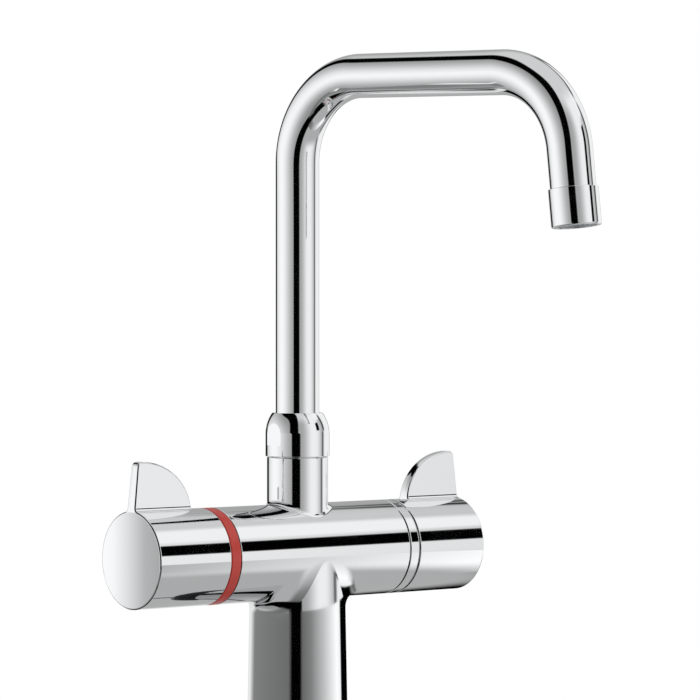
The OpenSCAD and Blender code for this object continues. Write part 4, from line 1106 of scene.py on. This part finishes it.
def studio_light(tree, way):
    """What the polished metal sees: the walls, the panels, and the window in its frame."""
    turn, up = camera_turn(tree, way)
    climb = add_node(tree, "ShaderNodeMath", (up,), operation="ARCSINE").outputs[0]
    azimuth, elevation = (add_node(tree, "ShaderNodeMath", (angle,), operation="DEGREES").outputs[0]
                          for angle in (turn, climb))
    lean = add_node(tree, "ShaderNodeMapRange", (elevation, *LEAN_SPAN, 0, LEAN),
                    interpolation_type="SMOOTHSTEP").outputs[0]
    leaning = add_node(tree, "ShaderNodeMath", (azimuth, lean), operation="SUBTRACT").outputs[0]

    layers = []
    for start, end, level in WALLS:
        share = add_node(tree, "ShaderNodeMapRange", (elevation, start, end, 0, 1),
                         interpolation_type="SMOOTHSTEP").outputs[0]
        layers.append((share, level))
    for *spans, softness, level in PANELS:
        layers.append((panel_share(tree, (azimuth, elevation), spans, softness), level))
    glow_reach = outline_reach(tree, (leaning, elevation), *GLOW)
    glow = add_node(tree, "ShaderNodeMapRange", (glow_reach, *GLOW_SPAN, *GLOW_LEVELS),
                    interpolation_type="SMOOTHSTEP").outputs[0]
    for outline, level in ((FRAME, FRAME_LEVEL), (WINDOW, glow)):
        reach = outline_reach(tree, (leaning, elevation), *outline)
        share = add_node(tree, "ShaderNodeMapRange", (reach, 1 - FRAME_SOFTNESS, 1 + FRAME_SOFTNESS, 1, 0),
                         interpolation_type="SMOOTHSTEP").outputs[0]
        layers.append((share, level))

    light = WALL_FOOT
    for share, level in layers:
        light = add_node(tree, "ShaderNodeMix", {"Factor": share, "A": light, "B": level}).outputs[0]
    for operation, value in (("POWER", SRGB_POWER), ("DIVIDE", CHROME_RETURN)):
        light = add_node(tree, "ShaderNodeMath", (light, value), operation=operation).outputs[0]
    return light


# Level of the plain light on everything that isn't polished
PLAIN_LIGHT = 0.8


def make_world():
    """White behind the object, the studio in the metal, and plain soft light on the rest."""
    world = bpy.data.worlds.new("studio")
    bpy.context.scene.world = world
    world.use_nodes = True
    tree = world.node_tree
    tree.nodes.clear()
    ray = add_node(tree, "ShaderNodeLightPath").outputs
    way = add_node(tree, "ShaderNodeTexCoord").outputs["Generated"]
    level = add_node(tree, "ShaderNodeMix", {"Factor": ray["Is Glossy Ray"], "A": PLAIN_LIGHT,
                                             "B": studio_light(tree, way)})
    clear = add_node(tree, "ShaderNodeMath", (ray["Is Camera Ray"], ray["Is Transmission Ray"]),
                     operation="ADD")
    shown = add_node(tree, "ShaderNodeMix", {"Factor": clear.outputs[0], "A": level.outputs[0], "B": 1.0})
    light = add_node(tree, "ShaderNodeBackground", {"Color": (1, 1, 1, 1), "Strength": shown.outputs[0]})
    add_node(tree, "ShaderNodeOutputWorld", {"Surface": light.outputs[0]})


# Papers that stand close to the mixer, where only its polished metal sees them

# Flats in a low ring round the column: radius, and the heights of their top and of their fade
FLATS_R = 250
FLATS_TOP, FLATS_FADE, FLATS_END = 45, -20, -110
# Azimuths and levels round it: grey on the left, black in front, a grey that pales towards the
# right, a black strip and white behind
FLATS_TONES = ((-180, 0.82), (-140, 0.9), (-116, 0.5), (-19, 0.42), (-12, 0.02), (7, 0.02), (12, 0.4),
               (32, 0.5), (62, 0.74), (102, 1.0), (116, 0.94), (120, 0.02), (172, 0.02), (176, 0.8))

# A card beside the temperature handle's end face: half width, heights and how far off it stands
CARD_HALF, CARD_FOOT, CARD_TOP, CARD_OFF = 25, 48, 107, 120
# Shares and levels across it, from the front to the back
CARD_TONES = ((0.3, 0.64), (0.5, 0.70), (0.68, 0.87), (0.83, 0.97), (1.0, 0.99))


def graded_paper(name, tones):
    """A glowing paper in greys. Also gives its position, its grading input and its cover input."""
    material, tree, place = new_material(name)
    grading = add_node(tree, "ShaderNodeValToRGB")
    stops = grading.color_ramp.elements
    while len(stops) < len(tones):
        stops.new(0.5)
    for stop, (at, level) in zip(stops, tones):
        stop.position = at
        stop.color = [chrome_light(level)] * 3 + [1]
    glow = add_node(tree, "ShaderNodeEmission", {"Color": grading.outputs[0]})
    clear = add_node(tree, "ShaderNodeBsdfTransparent")
    cover = add_node(tree, "ShaderNodeMixShader", (1.0, clear.outputs[0], glow.outputs[0]))
    add_node(tree, "ShaderNodeOutputMaterial", {"Surface": cover.outputs[0]})
    return material, tree, place, grading.inputs["Fac"], cover.inputs["Fac"]


def stand_paper(name, mesh, material):
    """Stands a paper in the studio for the polished metal alone."""
    mesh.materials.append(material)
    paper = placed(name, mesh)
    paper.visible_camera = paper.visible_diffuse = False
    paper.visible_shadow = paper.visible_transmission = False


def make_flats():
    """The low ring of flats round the column, which fades out downwards."""
    tones = [((azimuth + 180) / 360, level) for azimuth, level in FLATS_TONES]
    material, tree, place, grading, cover = graded_paper("graded_grey_flats", tones)
    turn, height = camera_turn(tree, place)
    share = add_node(tree, "ShaderNodeMapRange", (turn, -math.pi, math.pi))
    fade = add_node(tree, "ShaderNodeMapRange", (height, FLATS_END * MM, FLATS_FADE * MM),
                    interpolation_type="SMOOTHSTEP")
    tree.links.new(share.outputs[0], grading)
    tree.links.new(fade.outputs[0], cover)
    work = bmesh.new()
    bmesh.ops.create_cone(work, segments=128, radius1=FLATS_R * MM, radius2=FLATS_R * MM,
                          depth=(FLATS_TOP - FLATS_END) * MM)
    bmesh.ops.translate(work, verts=work.verts, vec=(0, 0, (FLATS_TOP + FLATS_END) / 2 * MM))
    mesh = bpy.data.meshes.new("flats")
    work.to_mesh(mesh)
    work.free()
    stand_paper("flats", mesh, material)


def make_card():
    """The card beside the temperature handle."""
    off = np.array([-math.sin(CAMERA_AZIMUTH), math.cos(CAMERA_AZIMUTH), 0])
    across = np.cross(off, Z)
    centre = X * low("temperature_handle")[0] + CARD_OFF * off
    material, tree, place, grading, _ = graded_paper("graded_grey_card", CARD_TONES)
    from_middle = add_node(tree, "ShaderNodeVectorMath", (place, centre * MM), operation="SUBTRACT")
    reach = add_node(tree, "ShaderNodeVectorMath", (from_middle.outputs[0], across),
                     operation="DOT_PRODUCT")
    share = add_node(tree, "ShaderNodeMapRange", (reach.outputs["Value"], -CARD_HALF * MM, CARD_HALF * MM))
    tree.links.new(share.outputs[0], grading)
    corners = [centre + side * CARD_HALF * across + height * Z for side, height in
               ((-1, CARD_FOOT), (1, CARD_FOOT), (1, CARD_TOP), (-1, CARD_TOP))]
    mesh = bpy.data.meshes.new("card")
    mesh.from_pydata([c * MM for c in corners], [], [(0, 1, 2, 3)])
    stand_paper("card", mesh, material)


FLOOR_R = 500
FLOOR_GAP = 0.2
FLOOR_GLOW = 0.75


def make_floor():
    """A plain pale floor under the lowest fixing, white to the camera outside the shadow."""
    level = low("fixing_studs")[2] - FLOOR_GAP
    work = bmesh.new()
    bmesh.ops.create_circle(work, cap_ends=True, segments=96, radius=FLOOR_R * MM)
    mesh = bpy.data.meshes.new("floor")
    work.to_mesh(mesh)
    work.free()
    mesh.transform(Matrix.Translation((0, 0, level * MM)))
    # Matt white paper: even and without gloss, and clear from below so that it hides nothing
    material, tree, _ = new_material("matt_white_paper")
    seen = add_node(tree, "ShaderNodeLightPath").outputs["Is Camera Ray"]
    under = add_node(tree, "ShaderNodeNewGeometry").outputs["Backfacing"]
    paper = add_node(tree, "ShaderNodeBsdfDiffuse", {"Color": linear("#E6E6E6")}).outputs[0]
    glow = add_node(tree, "ShaderNodeEmission", {"Strength": FLOOR_GLOW}).outputs[0]
    clear = add_node(tree, "ShaderNodeBsdfTransparent").outputs[0]
    lit = add_node(tree, "ShaderNodeAddShader", (paper, glow)).outputs[0]
    above = add_node(tree, "ShaderNodeMixShader", (seen, paper, lit)).outputs[0]
    both = add_node(tree, "ShaderNodeMixShader", (under, above, clear)).outputs[0]
    add_node(tree, "ShaderNodeOutputMaterial", {"Surface": both})
    mesh.materials.append(material)
    floor = placed("floor", mesh)
    floor.visible_glossy = False


# The lamp's place and what it is aimed at, in metres like its size, and its power in watts
LAMP_PLACE, LAMP_AIM = Vector((-0.9, -1.0, 1.5)), Vector((0, 0, 0.15))
LAMP_D, LAMP_POWER = 1.2, 9


def make_lamp():
    """One wide soft lamp above and to the left, which the metal doesn't mirror."""
    data = bpy.data.lights.new("soft_lamp", "AREA")
    data.shape, data.size, data.energy = "DISK", LAMP_D, LAMP_POWER
    lamp = placed("soft_lamp", data)
    lamp.location = LAMP_PLACE
    lamp.rotation_euler = (LAMP_AIM - LAMP_PLACE).to_track_quat("-Z", "Y").to_euler()
    lamp.visible_glossy = False


# Operators

class MixerOperator:
    bl_options = {"REGISTER", "UNDO"}


class MIXER_OT_finishes(MixerOperator, bpy.types.Operator):
    """Makes the finishes and gives each CAD node its own"""
    bl_idname = "mixer.finishes"
    bl_label = "Finishes"

    def execute(self, context):
        make_finishes(context.scene.mixer_colours)
        slots = {part["node"]: part["material_slot"] for part in frame["record"]["subparts"]}
        for name, node in frame["nodes"].items():
            node.data.materials.clear()
            node.data.materials.append(bpy.data.materials[FINISHES[slots[name]]])
        return {"FINISHED"}


class MIXER_OT_body(MixerOperator, bpy.types.Operator):
    """Builds the chromed body with its column and neck"""
    bl_idname = "mixer.body"
    bl_label = "Body"

    def execute(self, context):
        shell = build_body(sizes(context.scene.mixer_body))
        piece("body_shell", shell, "chrome", "root", "body")
        return {"FINISHED"}


class MIXER_OT_rings(MixerOperator, bpy.types.Operator):
    """Builds the red ring and the chromed ring beside the handles"""
    bl_idname = "mixer.rings"
    bl_label = "Rings"

    def execute(self, context):
        s = sizes(context.scene.mixer_body)
        rings = (("temperature_ring", -X, "red_plastic", s.red_edge),
                 ("flow_ring", X, "chrome", s.flow_edge))
        inner_r = NOSE_R + SEAT_GAP
        for node, axis, finish, edge in rings:
            end = max(abs(low(node)[0]), abs(high(node)[0]))
            skin = Skin()
            turned(skin, rounded([(inner_r, BODY_HALF), (BODY_R, BODY_HALF, edge), (BODY_R, end, edge),
                                  (inner_r, end), (inner_r, BODY_HALF)], buff=True),
                   circle(120), axis=axis, start=Z, side=Y)
            piece(node + "_shell", skin.mesh(node, (0, 0, AXIS_Z)), finish, "root", node)
        return {"FINISHED"}


class MIXER_OT_handles(MixerOperator, bpy.types.Operator):
    """Builds the two lever handles"""
    bl_idname = "mixer.handles"
    bl_label = "Handles"

    def execute(self, context):
        h = sizes(context.scene.mixer_handles)
        for side, node, body in ((-1, "temperature_handle", "temperature_control"),
                                 (1, "flow_handle", "flow_control")):
            ends = sorted((abs(low(node)[0]), abs(high(node)[0])))
            skin = build_handle(h, side, ends[1], ends[0])
            piece(node + "_shell", skin.mesh(node, (0, 0, AXIS_Z)), "chrome", body, node)
        return {"FINISHED"}


class MIXER_OT_spout(MixerOperator, bpy.types.Operator):
    """Builds the spout tube, its nut and the aerator housing"""
    bl_idname = "mixer.spout"
    bl_label = "Spout"

    def execute(self, context):
        s = sizes(context.scene.mixer_spout)
        piece("spout_tube_shell", build_tube(s), "chrome", "spout", "spout_tube")
        piece("spout_nut_shell", build_nut(s), "chrome", "root", "spout_nut")
        piece("aerator_shell", build_aerator(s), "chrome", "spout", "aerator_housing")
        return {"FINISHED"}


class MIXER_OT_stage(MixerOperator, bpy.types.Operator):
    """Sets up the floor, the studio light and the camera"""
    bl_idname = "mixer.stage"
    bl_label = "Stage"

    def execute(self, context):
        make_world()
        make_floor()
        make_flats()
        make_card()
        make_lamp()
        make_camera()
        context.scene.view_settings.view_transform = "Standard"
        return {"FINISHED"}


class MIXER_PT_panel(bpy.types.Panel):
    """Lists the pieces of the mixer"""
    bl_idname = "MIXER_PT_panel"
    bl_label = "Sink mixer"
    bl_space_type = "VIEW_3D"
    bl_region_type = "UI"
    bl_category = "Sink mixer"

    def draw(self, context):
        for operator in OPERATORS:
            self.layout.operator(operator.bl_idname)


GROUPS = {"mixer_body": MixerBodySizes, "mixer_spout": MixerSpoutSizes,
          "mixer_handles": MixerHandleSizes, "mixer_colours": MixerColours}
OPERATORS = (MIXER_OT_finishes, MIXER_OT_body, MIXER_OT_rings, MIXER_OT_handles,
             MIXER_OT_spout, MIXER_OT_stage)


def register():
    for name, group in GROUPS.items():
        bpy.utils.register_class(group)
        setattr(bpy.types.Scene, name, PointerProperty(type=group))
    for item in (*OPERATORS, MIXER_PT_panel):
        bpy.utils.register_class(item)


def unregister():
    for item in (MIXER_PT_panel, *OPERATORS):
        bpy.utils.unregister_class(item)
    for name, group in GROUPS.items():
        delattr(bpy.types.Scene, name)
        bpy.utils.unregister_class(group)


def main():
    register()
    for operator in (bpy.ops.mixer.finishes, bpy.ops.mixer.body, bpy.ops.mixer.rings,
                     bpy.ops.mixer.handles, bpy.ops.mixer.spout, bpy.ops.mixer.stage):
        operator()


if __name__ == "__main__":
    main()
